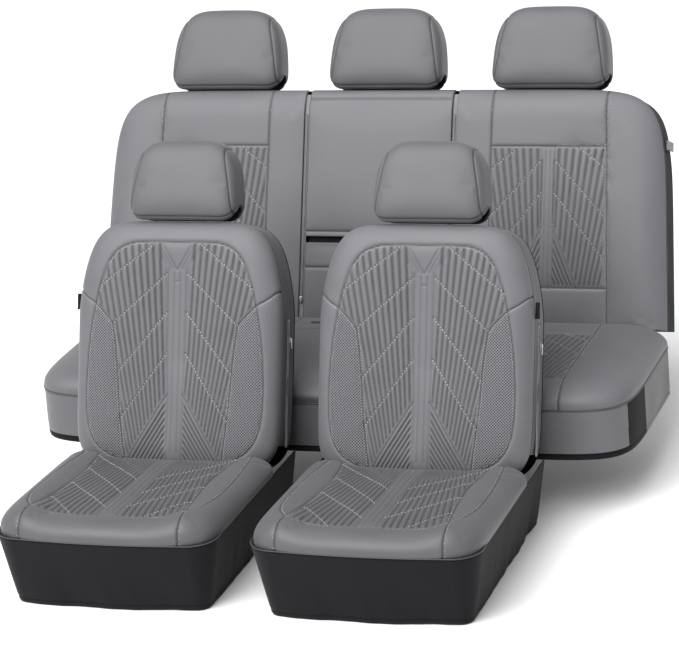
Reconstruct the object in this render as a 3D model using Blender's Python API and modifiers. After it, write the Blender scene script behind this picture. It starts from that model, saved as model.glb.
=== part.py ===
"""Seat cover set for a car with two front seats and a rear bench.

Metres, +Z up. The seats face -Y. Left and right are as seen by someone who stands in
front of the set. The dimensions below count from the front and the bottom edge of the
front seats' skirts, on the car's centre line. The finished set has its origin on the
flat underside of the bench cover, where that lies on the car's rear seat.
"""
import math

import bpy
import bmesh
from mathutils import Matrix, Vector

# ---------------------------------------------------------------- driving dimensions
GAP = 0.0004                 # running gap between neighbouring pieces
PAD = 0.012                  # foam-backed leatherette of the padded panels
WALL = 0.005                 # side walls and bands
CLOTH = 0.003                # skirts, rear panels and straps

# Front seats
SEAT_SPACING = 0.640
CUSHION_WIDTH = 0.556
CUSHION_DEPTH = 0.485
CUSHION_TOP = 0.222          # top of the cushion's front roll
CUSHION_REAR_TOP = 0.200     # top of the cushion where it meets the backrest
BOLSTER_RISE = 0.016
CUSHION_LIP = 0.010          # straight edge below the cushion's rolled one
SEAM_HEIGHT = 0.176          # seam between cushion and skirt
SKIRT_DEPTH = 0.645
SKIRT_TAPER = 0.034          # each side leans in by this much at the bottom
SKIRT_SPLIT = 0.100          # where the front strip of the skirt meets the side strips
CORNER_RADIUS = 0.066
FRONT_BOW = 0.018            # the front bulges by this much in the middle

# Front backrests: origin of their tilted frame is where cushion and backrest meet
BACK_ORIGIN = (0.505, 0.196)
BACK_RECLINE = math.radians(19.5)
BACK_BOTTOM = -0.036
BACK_HEIGHT = 0.588
BACK_HALF_WIDTH = 0.270
BACK_SHOULDER = 0.226        # half width at the top
BACK_FOOT = 0.250            # half width at the bottom
BELT_LOW, BELT_HIGH = 0.050, 0.350   # full width between these heights
BACK_ROLL = 0.045            # depth of the rolled edge of the front panel
BACK_DEPTH = 0.132
BACK_SQUARENESS = 7.0        # exponent of the rounded outline
WALL_SPLIT = 62.0            # angle on the outline where side wall and top band meet
SPLIT_GAP = 0.12             # degrees
LIP = 0.008                  # straight edge beyond a rolled one

# Headrest covers (width, depth, height)
FRONT_HEADREST = (0.288, 0.131, 0.202)
REAR_HEADREST = (0.316, 0.127, 0.220)
HEADREST_EDGE = 0.036
HEADREST_GAP = 0.003         # above the backrest's top
REAR_HEADREST_SPACING = 0.450

# Rear bench
BENCH_FRONT = 0.712
BENCH_BOTTOM = 0.145
BENCH_TOP = 0.334
BENCH_DEPTH = 0.485
BENCH_HALF_WIDTH = 0.790
BENCH_ROLL = 0.060           # drop of the rolled front and side edges
BENCH_SPLIT = 30.0           # angle on the plan where front and side boxing meet
CENTRE_HALF_WIDTH = 0.198    # centre section, between the two zips
ZIP_CHANNEL = 0.014          # free width between centre and side sections

# Rear backrest: origin of its tilted frame is where bench and backrest meet
REAR_ORIGIN = (1.214, 0.345)
REAR_RECLINE = math.radians(21.0)
REAR_BOTTOM = -0.030
REAR_HEIGHT = 0.592
REAR_HALF_WIDTH = 0.782      # at the bottom
REAR_TOP_HALF_WIDTH = 0.758
REAR_ROLL = 0.034
REAR_DEPTH = 0.125
FLAP_FOOT = 0.200            # height of the centre flap's lower edge above the bench
FLAP_CLEARANCE = 0.016       # room below that edge for the fold
REAR_SPLIT = 37.0            # angle on the outline where side wall and top band meet
CORNER_SQUARENESS = 9.0

# Zips
CHAIN_WIDTH, CHAIN_THICKNESS = 0.008, 0.0024
SIDE_ZIP = (0.040, 0.345)    # from and to, up the side wall
SIDE_ZIP_DEPTH = 0.086
SIDE_SLIDER_HEIGHT = 0.300
REAR_ZIP = (0.020, 0.530)
SLIDER_SIZE = (0.0085, 0.004, 0.014)       # across, off the chain, along
PULL_SIZE = (0.006, 0.002, 0.026)
PULL_GAP = 0.0008            # so that the tab's top can turn past the slider
PIN_RISE = 0.004             # of the tab's pin above the slider's middle

# Origin of the finished set, in the dimensions above
DATUM = Vector((0.0, BENCH_FRONT + 0.240, BENCH_TOP - PAD))

SIDES = {"left": -1, "right": 1}


# ---------------------------------------------------------------- scene and materials
def clear_scene():
    for thing in list(bpy.data.objects):
        bpy.data.objects.remove(thing, do_unlink=True)


def add_collection(name):
    group = bpy.data.collections.new(name)
    bpy.context.scene.collection.children.link(group)
    return group


COLOURS = {
    "grey_leatherette": ((0.285, 0.285, 0.305), 0.48, 0.0),
    "light_leatherette": ((0.330, 0.330, 0.350), 0.46, 0.0),
    "charcoal_fabric": ((0.030, 0.031, 0.034), 0.80, 0.0),
    "black_fabric": ((0.012, 0.012, 0.013), 0.85, 0.0),
    "zip_grey": ((0.220, 0.220, 0.230), 0.50, 0.0),
    "zip_metal": ((0.550, 0.550, 0.560), 0.32, 1.0),
    "black_plastic": ((0.018, 0.018, 0.019), 0.42, 0.0),
    "grey_elastic": ((0.170, 0.170, 0.175), 0.75, 0.0),
}


def own_material(thing, kind):
    """Give the object its own Principled material of the named kind."""
    colour, roughness, metallic = COLOURS[kind]
    material = bpy.data.materials.new(f"{thing.name}_{kind}")
    material.use_nodes = True
    shader = material.node_tree.nodes["Principled BSDF"]
    shader.inputs["Base Color"].default_value = (*colour, 1.0)
    shader.inputs["Roughness"].default_value = roughness
    shader.inputs["Metallic"].default_value = metallic
    thing.data.materials.append(material)


def add_object(name, mesh, kind, parent=None):
    thing = bpy.data.objects.new(name, mesh)
    PARTS.objects.link(thing)
    thing.parent = parent
    own_material(thing, kind)
    return thing


def add_frame(name, location, recline=0.0):
    """An empty whose Z runs up the backrest and whose Y runs into it."""
    empty = bpy.data.objects.new(name, None)
    PARTS.objects.link(empty)
    empty.location = Vector(location) - DATUM
    empty.rotation_euler = (-recline, 0.0, 0.0)
    return empty


# ---------------------------------------------------------------- shared shapes
def spread(value):
    """Move a grid coordinate in -1..1 so that more lines lie near the edges."""
    return math.copysign(1.0 - (1.0 - abs(value)) ** 1.6, value)


def squircle(x, y, exponent):
    """Map a square to one with round corners, ring by ring."""
    ring = max(abs(x), abs(y))
    if ring == 0.0:
        return 0.0, 0.0
    angle = math.atan2(y, x)
    reach = (abs(math.cos(angle)) ** exponent + abs(math.sin(angle)) ** exponent) ** (-1.0 / exponent)
    return ring * reach * math.cos(angle), ring * reach * math.sin(angle)


def roll(ring, start, depth):
    """Depth of a rolled edge: a quarter of an ellipse from start to the rim."""
    share = min(max((ring - start) / (1.0 - start), 0.0), 1.0)
    return depth * (1.0 - math.sqrt(1.0 - share * share))


def blend(low, high, share):
    return low + (high - low) * share


def before_lip(value, cells, span=2.0):
    """Stretch a grid coordinate so that it ends one cell early, and say if it is past that.

    The outermost cell is then free for the straight lip beyond a rolled edge.
    """
    limit = 1.0 - span / cells
    return max(-1.0, min(1.0, value / limit)), abs(value) > limit + 1e-6


def add_sheet(name, kind, columns, rows, place, thickness, parent=None):
    """A grid laid on place(s, t), with s and t in 0..1, and its thickness behind it."""
    mesh = bpy.data.meshes.new(name)
    form = bmesh.new()
    bmesh.ops.create_grid(form, x_segments=columns, y_segments=rows, size=0.5)
    for vertex in form.verts:
        vertex.co = Vector(place(vertex.co.x + 0.5, vertex.co.y + 0.5))
    bmesh.ops.remove_doubles(form, verts=form.verts, dist=0.00001)
    form.to_mesh(mesh)
    form.free()
    mesh.shade_smooth()
    sheet = add_object(name, mesh, kind, parent)
    solid = sheet.modifiers.new("thickness", "SOLIDIFY")
    solid.thickness = thickness
    solid.offset = -1.0
    return sheet


def add_block(name, kind, size, centre, parent=None, bevel=0.0):
    """A box with its size along the parent's axes, and softened edges."""
    mesh = bpy.data.meshes.new(name)
    form = bmesh.new()
    bmesh.ops.create_cube(form, size=1.0)
    bmesh.ops.scale(form, vec=Vector(size), verts=form.verts)
    form.to_mesh(mesh)
    form.free()
    block = add_object(name, mesh, kind, parent)
    block.location = centre
    if bevel:
        soft = block.modifiers.new("edges", "BEVEL")
        soft.width = bevel
        soft.segments = 1
    return block


# ---------------------------------------------------------------- headrest covers
def add_headrest(name, size, centre_x, base, parent):
    """A five-sided hood with rounded edges and a turned-in hem, open below for the headrest's pad."""
    width, depth, height = size
    mesh = bpy.data.meshes.new(name)
    form = bmesh.new()
    bmesh.ops.create_cube(form, size=1.0)
    bmesh.ops.scale(form, vec=Vector(size), verts=form.verts)
    bmesh.ops.bevel(form, geom=list(form.edges), offset=HEADREST_EDGE, segments=2,
                    profile=0.5, affect="EDGES")
    mouth = min(form.faces, key=lambda face: face.calc_center_median().z)
    bmesh.ops.delete(form, geom=[mouth], context="FACES_ONLY")
    for vertex in form.verts:
        rise = vertex.co.z / height + 0.5
        vertex.co.x *= blend(1.0, 0.86, rise * rise)
        vertex.co.y = blend(1.0, 0.80, rise) * vertex.co.y + 0.010 * rise
    form.to_mesh(mesh)
    form.free()
    mesh.shade_smooth()
    hood = add_object(name, mesh, "grey_leatherette", parent)
    hood.location = (centre_x, depth / 2, base + height / 2)
    solid = hood.modifiers.new("thickness", "SOLIDIFY")
    solid.thickness = WALL
    solid.offset = -1.0
    return hood


# ---------------------------------------------------------------- front backrest cover
def back_half_width(height):
    """Half width of the barrel-shaped backrest at a height above the cushion."""
    if height > BELT_HIGH:
        share = (height - BELT_HIGH) / (BACK_HEIGHT - BELT_HIGH)
        return blend(BACK_HALF_WIDTH, BACK_SHOULDER, share ** 1.6)
    if height < BELT_LOW:
        share = (BELT_LOW - height) / (BELT_LOW - BACK_BOTTOM)
        return blend(BACK_HALF_WIDTH, BACK_FOOT, share ** 2)
    return BACK_HALF_WIDTH


def back_point(x, y):
    """From the round-cornered square to the backrest's outline, as (across, up)."""
    height = blend(BACK_BOTTOM, BACK_HEIGHT, (y + 1.0) / 2.0)
    return x * back_half_width(height), height


def rim_direction(degrees):
    """The point of the square's edge at an angle, counter-clockwise from the right-hand side."""
    angle = math.radians(degrees)
    longest = max(abs(math.cos(angle)), abs(math.sin(angle)))
    return math.cos(angle) / longest, math.sin(angle) / longest


def add_back_cover(side, seat, parent):
    cells = 12

    def front_surface(s, t):
        x, lip_x = before_lip(2 * s - 1, cells)
        y, lip_y = before_lip(2 * t - 1, cells)
        x, y = spread(x), spread(y)
        across, up = back_point(*squircle(x, y, BACK_SQUARENESS))
        dish = 0.014 * max(0.0, 1.0 - (x / 0.62) ** 2) * max(0.0, 1.0 - y ** 4)
        rolled = roll(max(abs(x), abs(y)), 0.74, BACK_ROLL - LIP)
        return across, dish + rolled + LIP * (lip_x or lip_y), up

    def wall(first, last):
        def place(s, t):
            direction = rim_direction(blend(first, last, s))
            across, up = back_point(*squircle(*direction, BACK_SQUARENESS))
            return across, blend(BACK_DEPTH - CLOTH - GAP, BACK_ROLL + GAP, t), up
        return place

    def rear_surface(s, t):
        across, up = back_point(*squircle(spread(1 - 2 * s), spread(2 * t - 1), BACK_SQUARENESS))
        return across, BACK_DEPTH, up

    right_wall = wall(-38.0, WALL_SPLIT - SPLIT_GAP)
    left_wall = wall(180.0 - WALL_SPLIT + SPLIT_GAP, 218.0)
    top_band = wall(WALL_SPLIT, 180.0 - WALL_SPLIT)
    add_sheet(f"{seat}_back_front_panel", "grey_leatherette", cells, cells, front_surface, PAD, parent)
    add_sheet(f"{seat}_back_right_wall", "grey_leatherette", 14, 1, right_wall, WALL, parent)
    add_sheet(f"{seat}_back_top_band", "grey_leatherette", 10, 1, top_band, WALL, parent)
    add_sheet(f"{seat}_back_left_wall", "grey_leatherette", 14, 1, left_wall, WALL, parent)
    add_sheet(f"{seat}_back_rear_panel", "charcoal_fabric", 8, 8, rear_surface, CLOTH, parent)

    tag = (0.011, 0.0015, 0.040)
    add_block(f"{seat}_side_tag", "black_fabric", tag,
              (SIDES[side] * (BACK_HALF_WIDTH + GAP + tag[0] / 2), BACK_ROLL, 0.385),
              parent, bevel=0.0004)

    zip_middle = (SIDE_ZIP[0] + SIDE_ZIP[1]) / 2
    chain_x = BACK_HALF_WIDTH + GAP + CHAIN_THICKNESS / 2
    add_block(f"{seat}_side_zip_chain", "zip_grey",
              (CHAIN_THICKNESS, CHAIN_WIDTH, SIDE_ZIP[1] - SIDE_ZIP[0]),
              (chain_x, SIDE_ZIP_DEPTH, zip_middle), parent, bevel=0.0006)
    across, off, along = SLIDER_SIZE
    slider_x = chain_x + CHAIN_THICKNESS / 2 + GAP + off / 2
    add_block(f"{seat}_side_zip_slider", "zip_metal", (off, across, along),
              (slider_x, SIDE_ZIP_DEPTH, SIDE_SLIDER_HEIGHT), parent, bevel=0.001)
    add_pull(f"{seat}_side_zip_pull", slider_x + off / 2, parent)


def add_pull(name, slider_face, parent):
    """The slider's tab, with its origin on the pin that it swings on."""
    width, thickness, length = PULL_SIZE
    mesh = bpy.data.meshes.new(name)
    form = bmesh.new()
    bmesh.ops.create_cube(form, size=1.0)
    bmesh.ops.scale(form, vec=Vector((thickness, width, length)), verts=form.verts)
    bmesh.ops.translate(form, vec=Vector((0.0, 0.0, (thickness - length) / 2)), verts=form.verts)
    form.to_mesh(mesh)
    form.free()
    tab = add_object(name, mesh, "zip_metal", parent)
    tab.location = (slider_face + PULL_GAP + thickness / 2, SIDE_ZIP_DEPTH, SIDE_SLIDER_HEIGHT + PIN_RISE)
    soft = tab.modifiers.new("edges", "BEVEL")
    soft.width = 0.0006
    soft.segments = 1


# ---------------------------------------------------------------- front cushion cover
def cushion_point(x, y):
    """From the round-cornered square to the cushion's plan, as (across, back)."""
    bow = FRONT_BOW * x * x * (1.0 - y) / 2.0
    return x * CUSHION_WIDTH / 2, blend(0.0, CUSHION_DEPTH, (y + 1.0) / 2.0) + bow


def add_cushion_cover(seat, parent):
    columns, rows = 12, 11

    def top_surface(s, t):
        x, lip_x = before_lip(2 * s - 1, columns)
        forward, lip_y = before_lip(1.0 - t, rows, span=1.0)
        x, y = spread(x), 1.0 - 2 * (forward + spread(forward)) / 2
        across, back = cushion_point(*squircle(x, y, 7.0 if y < 0 else 40.0))
        top = blend(CUSHION_TOP, CUSHION_REAR_TOP, (y + 1.0) / 2.0)
        top += BOLSTER_RISE * math.exp(-((abs(x) - 0.80) / 0.22) ** 2)
        rim = max(abs(x), -y)
        drop = (top - SEAM_HEIGHT - CUSHION_LIP) * roll(rim, 0.80, 1.0)
        return across, back, top - drop - CUSHION_LIP * (lip_x or lip_y)

    half = CUSHION_WIDTH / 2
    straight = half - CORNER_RADIUS
    lean_rise = CLOTH * SKIRT_TAPER / SEAM_HEIGHT      # the leaning cloth's inner edge is higher
    skirt_top = SEAM_HEIGHT - GAP - lean_rise

    def skirt_line(s, lean):
        """Plan of the front strip: bowed front, round corner, and a short straight end."""
        share = abs(2 * s - 1)
        side = math.copysign(1.0, 2 * s - 1)
        corner_back = FRONT_BOW * (straight / half) ** 2 + CORNER_RADIUS
        if share < 0.5:
            across = straight * share / 0.5
            return side * across, FRONT_BOW * (across / half) ** 2 + lean
        if share < 0.9:
            turn = math.radians(90.0) * (share - 0.5) / 0.4
            reach = CORNER_RADIUS - lean
            return side * (straight + reach * math.sin(turn)), corner_back - reach * math.cos(turn)
        return side * (half - lean), blend(corner_back, SKIRT_SPLIT, (share - 0.9) / 0.1)

    def front_skirt(s, t):
        across, back = skirt_line(s, SKIRT_TAPER * (1.0 - t))
        return across, back, skirt_top * t

    def side_skirt(sign):
        def place(s, t):
            share = s if sign > 0 else 1.0 - s
            back = blend(SKIRT_SPLIT + GAP, SKIRT_DEPTH, share)
            lean = SKIRT_TAPER * (1.0 - t)
            return sign * (half - lean), back, skirt_top * t
        return place

    add_sheet(f"{seat}_cushion_top_panel", "grey_leatherette", columns, rows, top_surface, PAD, parent)
    add_sheet(f"{seat}_skirt_front", "charcoal_fabric", 20, 2, front_skirt, CLOTH, parent)
    add_sheet(f"{seat}_skirt_right", "charcoal_fabric", 4, 2, side_skirt(1), CLOTH, parent)
    add_sheet(f"{seat}_skirt_left", "charcoal_fabric", 4, 2, side_skirt(-1), CLOTH, parent)
    add_tuck_flap(seat, parent)
    add_under_strap(seat, parent)


def add_tuck_flap(seat, parent):
    """The flap that goes through the gap behind the cushion, and the rod sewn in its end."""
    start = CUSHION_DEPTH + 0.0015
    path = [(start, 0.178), (start + 0.0015, 0.150), (start + 0.0085, 0.122),
            (start + 0.0285, 0.106), (start + 0.0545, 0.098)]
    half = 0.180

    def place(s, t):
        step = min(int(t * (len(path) - 1)), len(path) - 2)
        share = t * (len(path) - 1) - step
        back = blend(path[step][0], path[step + 1][0], share)
        up = blend(path[step][1], path[step + 1][1], share)
        return blend(half, -half, s), back, up

    add_sheet(f"{seat}_tuck_flap", "black_fabric", 2, len(path) - 1, place, 0.002, parent)
    rod_radius = 0.007
    mesh = bpy.data.meshes.new(f"{seat}_tuck_rod")
    form = bmesh.new()
    bmesh.ops.create_cone(form, cap_ends=True, segments=16, radius1=rod_radius, radius2=rod_radius,
                          depth=2 * half - 0.02)
    bmesh.ops.rotate(form, cent=(0, 0, 0), matrix=Matrix.Rotation(math.radians(90), 3, "Y"), verts=form.verts)
    form.to_mesh(mesh)
    form.free()
    rod = add_object(f"{seat}_tuck_rod", mesh, "black_plastic", parent)
    rod.location = (0.0, path[-1][0] + rod_radius + 0.001, 0.097)


def add_under_strap(seat, parent):
    """Elastic strap across the underside, with its adjusting buckle."""
    half = CUSHION_WIDTH / 2 - SKIRT_TAPER - CLOTH - 2 * GAP
    strap = (2 * half, 0.025, 0.0015)
    add_block(f"{seat}_under_strap", "black_fabric", strap, (0.0, 0.240, 0.012), parent)
    buckle = add_block(f"{seat}_strap_buckle", "black_plastic", (0.034, 0.040, 0.009),
                       (0.060, 0.240, 0.012), parent, bevel=0.0015)
    cutter = add_block(f"{seat}_strap_slot", "black_plastic", (0.060, 0.027, 0.0027),
                       (0.060, 0.240, 0.012), parent)
    PARTS.objects.unlink(cutter)
    CUTTERS.objects.link(cutter)
    cutter.hide_render = True
    cutter.display_type = "WIRE"
    slot = buckle.modifiers.new("slot", "BOOLEAN")
    slot.operation = "DIFFERENCE"
    slot.object = cutter
    slot.solver = "EXACT"


# ---------------------------------------------------------------- rear backrest cover
def rear_half_width(height):
    share = (height - REAR_BOTTOM) / (REAR_HEIGHT - REAR_BOTTOM)
    return blend(REAR_HALF_WIDTH, REAR_TOP_HALF_WIDTH, share)


def rear_point(x, y):
    """From the outer quarter of a round-cornered square to the outline, as (across, up)."""
    up = blend(REAR_BOTTOM, REAR_HEIGHT, y)
    inner = CENTRE_HALF_WIDTH + ZIP_CHANNEL
    return blend(inner, rear_half_width(up), x), up


def rear_rim(degrees):
    return rear_point(*squircle(*rim_direction(degrees), CORNER_SQUARENESS))


def add_rear_back_cover(parent):
    columns, rows = 9, 11

    def section(sign):
        def place(s, t):
            x, lip_x = before_lip(s if sign > 0 else 1.0 - s, columns, span=1.0)
            y, lip_y = before_lip(t, rows, span=1.0)
            x, y = (x + spread(x)) / 2, (y + spread(y)) / 2
            across, up = rear_point(*squircle(x, y, CORNER_SQUARENESS))
            rolled = roll(max(x, y), 0.88, REAR_ROLL - LIP)
            return sign * across, rolled + LIP * (lip_x or lip_y), up
        return place

    def centre_band(s, t):
        up = blend(REAR_BOTTOM, FLAP_FOOT - FLAP_CLEARANCE, t)
        return blend(-CENTRE_HALF_WIDTH, CENTRE_HALF_WIDTH, s), 0.0, up

    def armrest_flap(s, t):
        y, lip_y = before_lip(t, rows, span=1.0)
        up = blend(FLAP_FOOT, REAR_HEIGHT, (y + spread(y)) / 2)
        share = (up - REAR_BOTTOM) / (REAR_HEIGHT - REAR_BOTTOM)
        depth = roll(share, 0.88, REAR_ROLL - LIP) + LIP * lip_y
        return blend(-CENTRE_HALF_WIDTH, CENTRE_HALF_WIDTH, s), depth, up

    def rim_strip(angle, sign, t):
        across, up = rear_rim(angle)
        return sign * across, blend(REAR_DEPTH - CLOTH - GAP, REAR_ROLL + GAP, t), up

    def side_wall(sign):
        def place(s, t):
            share = s if sign > 0 else 1.0 - s
            return rim_strip(blend(0.0, REAR_SPLIT - SPLIT_GAP, share), sign, t)
        return place

    def top_band(s, t):
        if s < 0.5:
            return rim_strip(blend(REAR_SPLIT, 90.0, s / 0.5), 1, t)
        return rim_strip(blend(90.0, REAR_SPLIT, (s - 0.5) / 0.5), -1, t)

    def rear_surface(s, t):
        sign = 1 if s < 0.5 else -1
        across, up = rear_point(*squircle(abs(1 - 2 * s), t, CORNER_SQUARENESS))
        return sign * across, REAR_DEPTH, up

    add_sheet("rear_back_right_panel", "light_leatherette", columns, rows, section(1), PAD, parent)
    add_sheet("rear_back_left_panel", "light_leatherette", columns, rows, section(-1), PAD, parent)
    add_sheet("rear_back_centre_band", "light_leatherette", 4, 2, centre_band, PAD, parent)
    add_sheet("rear_armrest_flap", "light_leatherette", 4, rows, armrest_flap, PAD, parent)
    add_sheet("rear_back_right_wall", "black_fabric", 8, 1, side_wall(1), WALL, parent)
    add_sheet("rear_back_left_wall", "black_fabric", 8, 1, side_wall(-1), WALL, parent)
    add_sheet("rear_back_top_band", "light_leatherette", 15, 1, top_band, WALL, parent)
    add_sheet("rear_back_rear_panel", "black_fabric", 9, 6, rear_surface, CLOTH, parent)

    for side, sign in SIDES.items():
        middle = sign * (CENTRE_HALF_WIDTH + ZIP_CHANNEL / 2)
        add_block(f"rear_{side}_zip_chain", "zip_grey",
                  (CHAIN_WIDTH, CHAIN_THICKNESS, REAR_ZIP[1] - REAR_ZIP[0]),
                  (middle, 0.004, sum(REAR_ZIP) / 2), parent, bevel=0.0006)
        across, off, along = SLIDER_SIZE
        add_block(f"rear_{side}_zip_slider", "zip_metal", (across, off, along),
                  (middle, 0.004 - CHAIN_THICKNESS / 2 - GAP - off / 2, REAR_ZIP[0] + 0.012),
                  parent, bevel=0.001)
    strap = (0.0015, 0.080, 0.024)
    add_block("rear_back_side_strap", "grey_elastic", strap,
              (rear_half_width(0.45) + GAP + 0.0022, REAR_ROLL + 0.045, 0.45), parent)


# ---------------------------------------------------------------- rear bench cover
def bench_point(x, y):
    """From the outer quarter of a round-cornered square to the bench's plan."""
    inner = CENTRE_HALF_WIDTH + GAP
    return blend(inner, BENCH_HALF_WIDTH, x), blend(BENCH_FRONT + BENCH_DEPTH, BENCH_FRONT, y)


def bench_rim(degrees):
    return bench_point(*squircle(*rim_direction(degrees), CORNER_SQUARENESS))


def add_bench_cover(parent):
    seam = BENCH_TOP - BENCH_ROLL
    columns, rows = 11, 11

    def surface(across, back, ring, lip):
        drop = (BENCH_TOP - seam - LIP) * roll(ring, 0.80, 1.0)
        return across, back, BENCH_TOP - drop - LIP * lip

    def section(sign):
        def place(s, t):
            x, lip_x = before_lip(s if sign > 0 else 1.0 - s, columns, span=1.0)
            y, lip_y = before_lip(1.0 - t, rows, span=1.0)
            x, y = (x + spread(x)) / 2, (y + spread(y)) / 2
            across, back = bench_point(*squircle(x, y, CORNER_SQUARENESS))
            return surface(sign * across, back, max(x, y), lip_x or lip_y)
        return place

    def centre(s, t):
        y, lip_y = before_lip(1.0 - t, rows, span=1.0)
        y = (y + spread(y)) / 2
        back = blend(BENCH_FRONT + BENCH_DEPTH, BENCH_FRONT, y)
        return surface(blend(-CENTRE_HALF_WIDTH, CENTRE_HALF_WIDTH, s), back, y, lip_y)

    def front_boxing(s, t):
        if s < 0.5:
            sign, angle = -1, blend(BENCH_SPLIT, 90.0, s / 0.5)
        else:
            sign, angle = 1, blend(90.0, BENCH_SPLIT, (s - 0.5) / 0.5)
        across, back = bench_rim(angle)
        return sign * across, back, blend(BENCH_BOTTOM, seam - GAP, t)

    def side_boxing(sign):
        def place(s, t):
            share = 1.0 - s if sign > 0 else s
            across, back = bench_rim(blend(0.0, BENCH_SPLIT - SPLIT_GAP, share))
            return sign * across, back, blend(BENCH_BOTTOM, seam - GAP, t)
        return place

    add_sheet("bench_right_panel", "light_leatherette", columns, rows, section(1), PAD, parent)
    add_sheet("bench_left_panel", "light_leatherette", columns, rows, section(-1), PAD, parent)
    add_sheet("bench_centre_panel", "light_leatherette", 4, rows, centre, PAD, parent)
    add_sheet("bench_front_boxing", "light_leatherette", 15, 1, front_boxing, WALL, parent)
    add_sheet("bench_right_boxing", "black_fabric", 8, 1, side_boxing(1), WALL, parent)
    add_sheet("bench_left_boxing", "black_fabric", 8, 1, side_boxing(-1), WALL, parent)
    for side, sign in SIDES.items():
        strap_length = BENCH_DEPTH - WALL - 0.030
        add_block(f"bench_{side}_strap", "black_fabric", (0.025, strap_length, 0.0015),
                  (sign * 0.420, BENCH_FRONT + WALL + GAP + strap_length / 2 + 0.001, BENCH_BOTTOM + 0.004),
                  parent)


# ---------------------------------------------------------------- the set
clear_scene()
PARTS = add_collection("seat_cover_set")
CUTTERS = add_collection("cutters")

for side_name, side_sign in SIDES.items():
    seat_name = f"front_{side_name}"
    centre_x = side_sign * SEAT_SPACING / 2
    cushion_frame = add_frame(f"{seat_name}_cushion_frame", (centre_x, 0.0, 0.0))
    back_frame = add_frame(f"{seat_name}_back_frame", (centre_x, *BACK_ORIGIN), BACK_RECLINE)
    add_cushion_cover(seat_name, cushion_frame)
    add_back_cover(side_name, seat_name, back_frame)
    add_headrest(f"{seat_name}_headrest_cover", FRONT_HEADREST, 0.0,
                 BACK_HEIGHT + HEADREST_GAP, back_frame)

rear_frame = add_frame("rear_back_frame", (0.0, *REAR_ORIGIN), REAR_RECLINE)
bench_frame = add_frame("bench_frame", (0.0, 0.0, 0.0))
add_rear_back_cover(rear_frame)
add_bench_cover(bench_frame)
for place_name, place_sign in (("left", -1), ("centre", 0), ("right", 1)):
    add_headrest(f"rear_{place_name}_headrest_cover", REAR_HEADREST,
                 place_sign * REAR_HEADREST_SPACING, REAR_HEIGHT + HEADREST_GAP, rear_frame)
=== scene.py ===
"""Seat cover set for two front seats and a rear bench: its sewn, padded look.

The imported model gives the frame. Each panel is a fine grid laid on the same surface as
its solid, puffed by a cloth simulation between its seams, then quilted. Metres, +Z up,
seats facing -Y. Panel coordinates are (across, up) on backrests, (across, back) on seats.
"""
import math

import bpy
import numpy as np
from mathutils import Matrix, Vector
from mathutils.kdtree import KDTree


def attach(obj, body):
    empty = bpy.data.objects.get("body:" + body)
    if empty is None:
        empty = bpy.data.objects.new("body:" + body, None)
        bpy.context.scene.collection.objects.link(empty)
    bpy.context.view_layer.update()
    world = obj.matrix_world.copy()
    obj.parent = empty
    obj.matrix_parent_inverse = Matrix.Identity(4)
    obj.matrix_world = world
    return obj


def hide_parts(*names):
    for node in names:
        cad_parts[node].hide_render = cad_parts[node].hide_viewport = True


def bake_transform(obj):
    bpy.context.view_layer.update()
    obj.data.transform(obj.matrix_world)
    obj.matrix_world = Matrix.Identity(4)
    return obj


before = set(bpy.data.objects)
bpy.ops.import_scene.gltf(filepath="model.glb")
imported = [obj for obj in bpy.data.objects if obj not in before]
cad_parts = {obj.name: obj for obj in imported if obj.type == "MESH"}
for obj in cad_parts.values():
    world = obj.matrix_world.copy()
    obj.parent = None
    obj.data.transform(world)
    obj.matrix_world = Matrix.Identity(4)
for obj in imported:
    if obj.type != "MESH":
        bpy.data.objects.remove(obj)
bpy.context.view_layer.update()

# ---------------------------------------------------------------- dimensions
GAP = 0.0004
WALL, CLOTH = 0.005, 0.003
LIP = 0.008                                  # straight edge beyond a rolled one
DATUM = np.array((0.0, 0.952, 0.322))        # the row origin, from the front skirts' foot
SEAT_CENTRES = {"left": -0.320, "right": 0.320}

CUSHION_WIDTH, CUSHION_DEPTH = 0.556, 0.485
CUSHION_TOP, CUSHION_REAR_TOP, BOLSTER_RISE = 0.222, 0.200, 0.016
CUSHION_LIP, SEAM_HEIGHT = 0.010, 0.176
SKIRT_DEPTH, SKIRT_TAPER, SKIRT_SPLIT = 0.645, 0.034, 0.100
CORNER_RADIUS, FRONT_BOW = 0.066, 0.018

BACK_ORIGIN, BACK_RECLINE = np.array((0.0, 0.505, 0.196)), math.radians(19.5)
BACK_BOTTOM, BACK_HEIGHT = -0.036, 0.588
BACK_HALF_WIDTH, BACK_SHOULDER, BACK_FOOT = 0.270, 0.226, 0.250
BELT_LOW, BELT_HIGH = 0.050, 0.350
BACK_ROLL, BACK_DEPTH, BACK_SQUARENESS = 0.045, 0.132, 7.0
WALL_SPLIT, SPLIT_GAP = 62.0, 0.12

FRONT_HEADREST, REAR_HEADREST = (0.288, 0.131, 0.202), (0.316, 0.127, 0.220)
HEADREST_GAP, REAR_HEADREST_SPACING = 0.003, 0.450

BENCH_FRONT, BENCH_BOTTOM, BENCH_TOP = 0.712, 0.145, 0.334
BENCH_DEPTH, BENCH_HALF_WIDTH, BENCH_ROLL, BENCH_SPLIT = 0.485, 0.790, 0.060, 30.0
CENTRE_HALF_WIDTH, ZIP_CHANNEL = 0.198, 0.014

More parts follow.
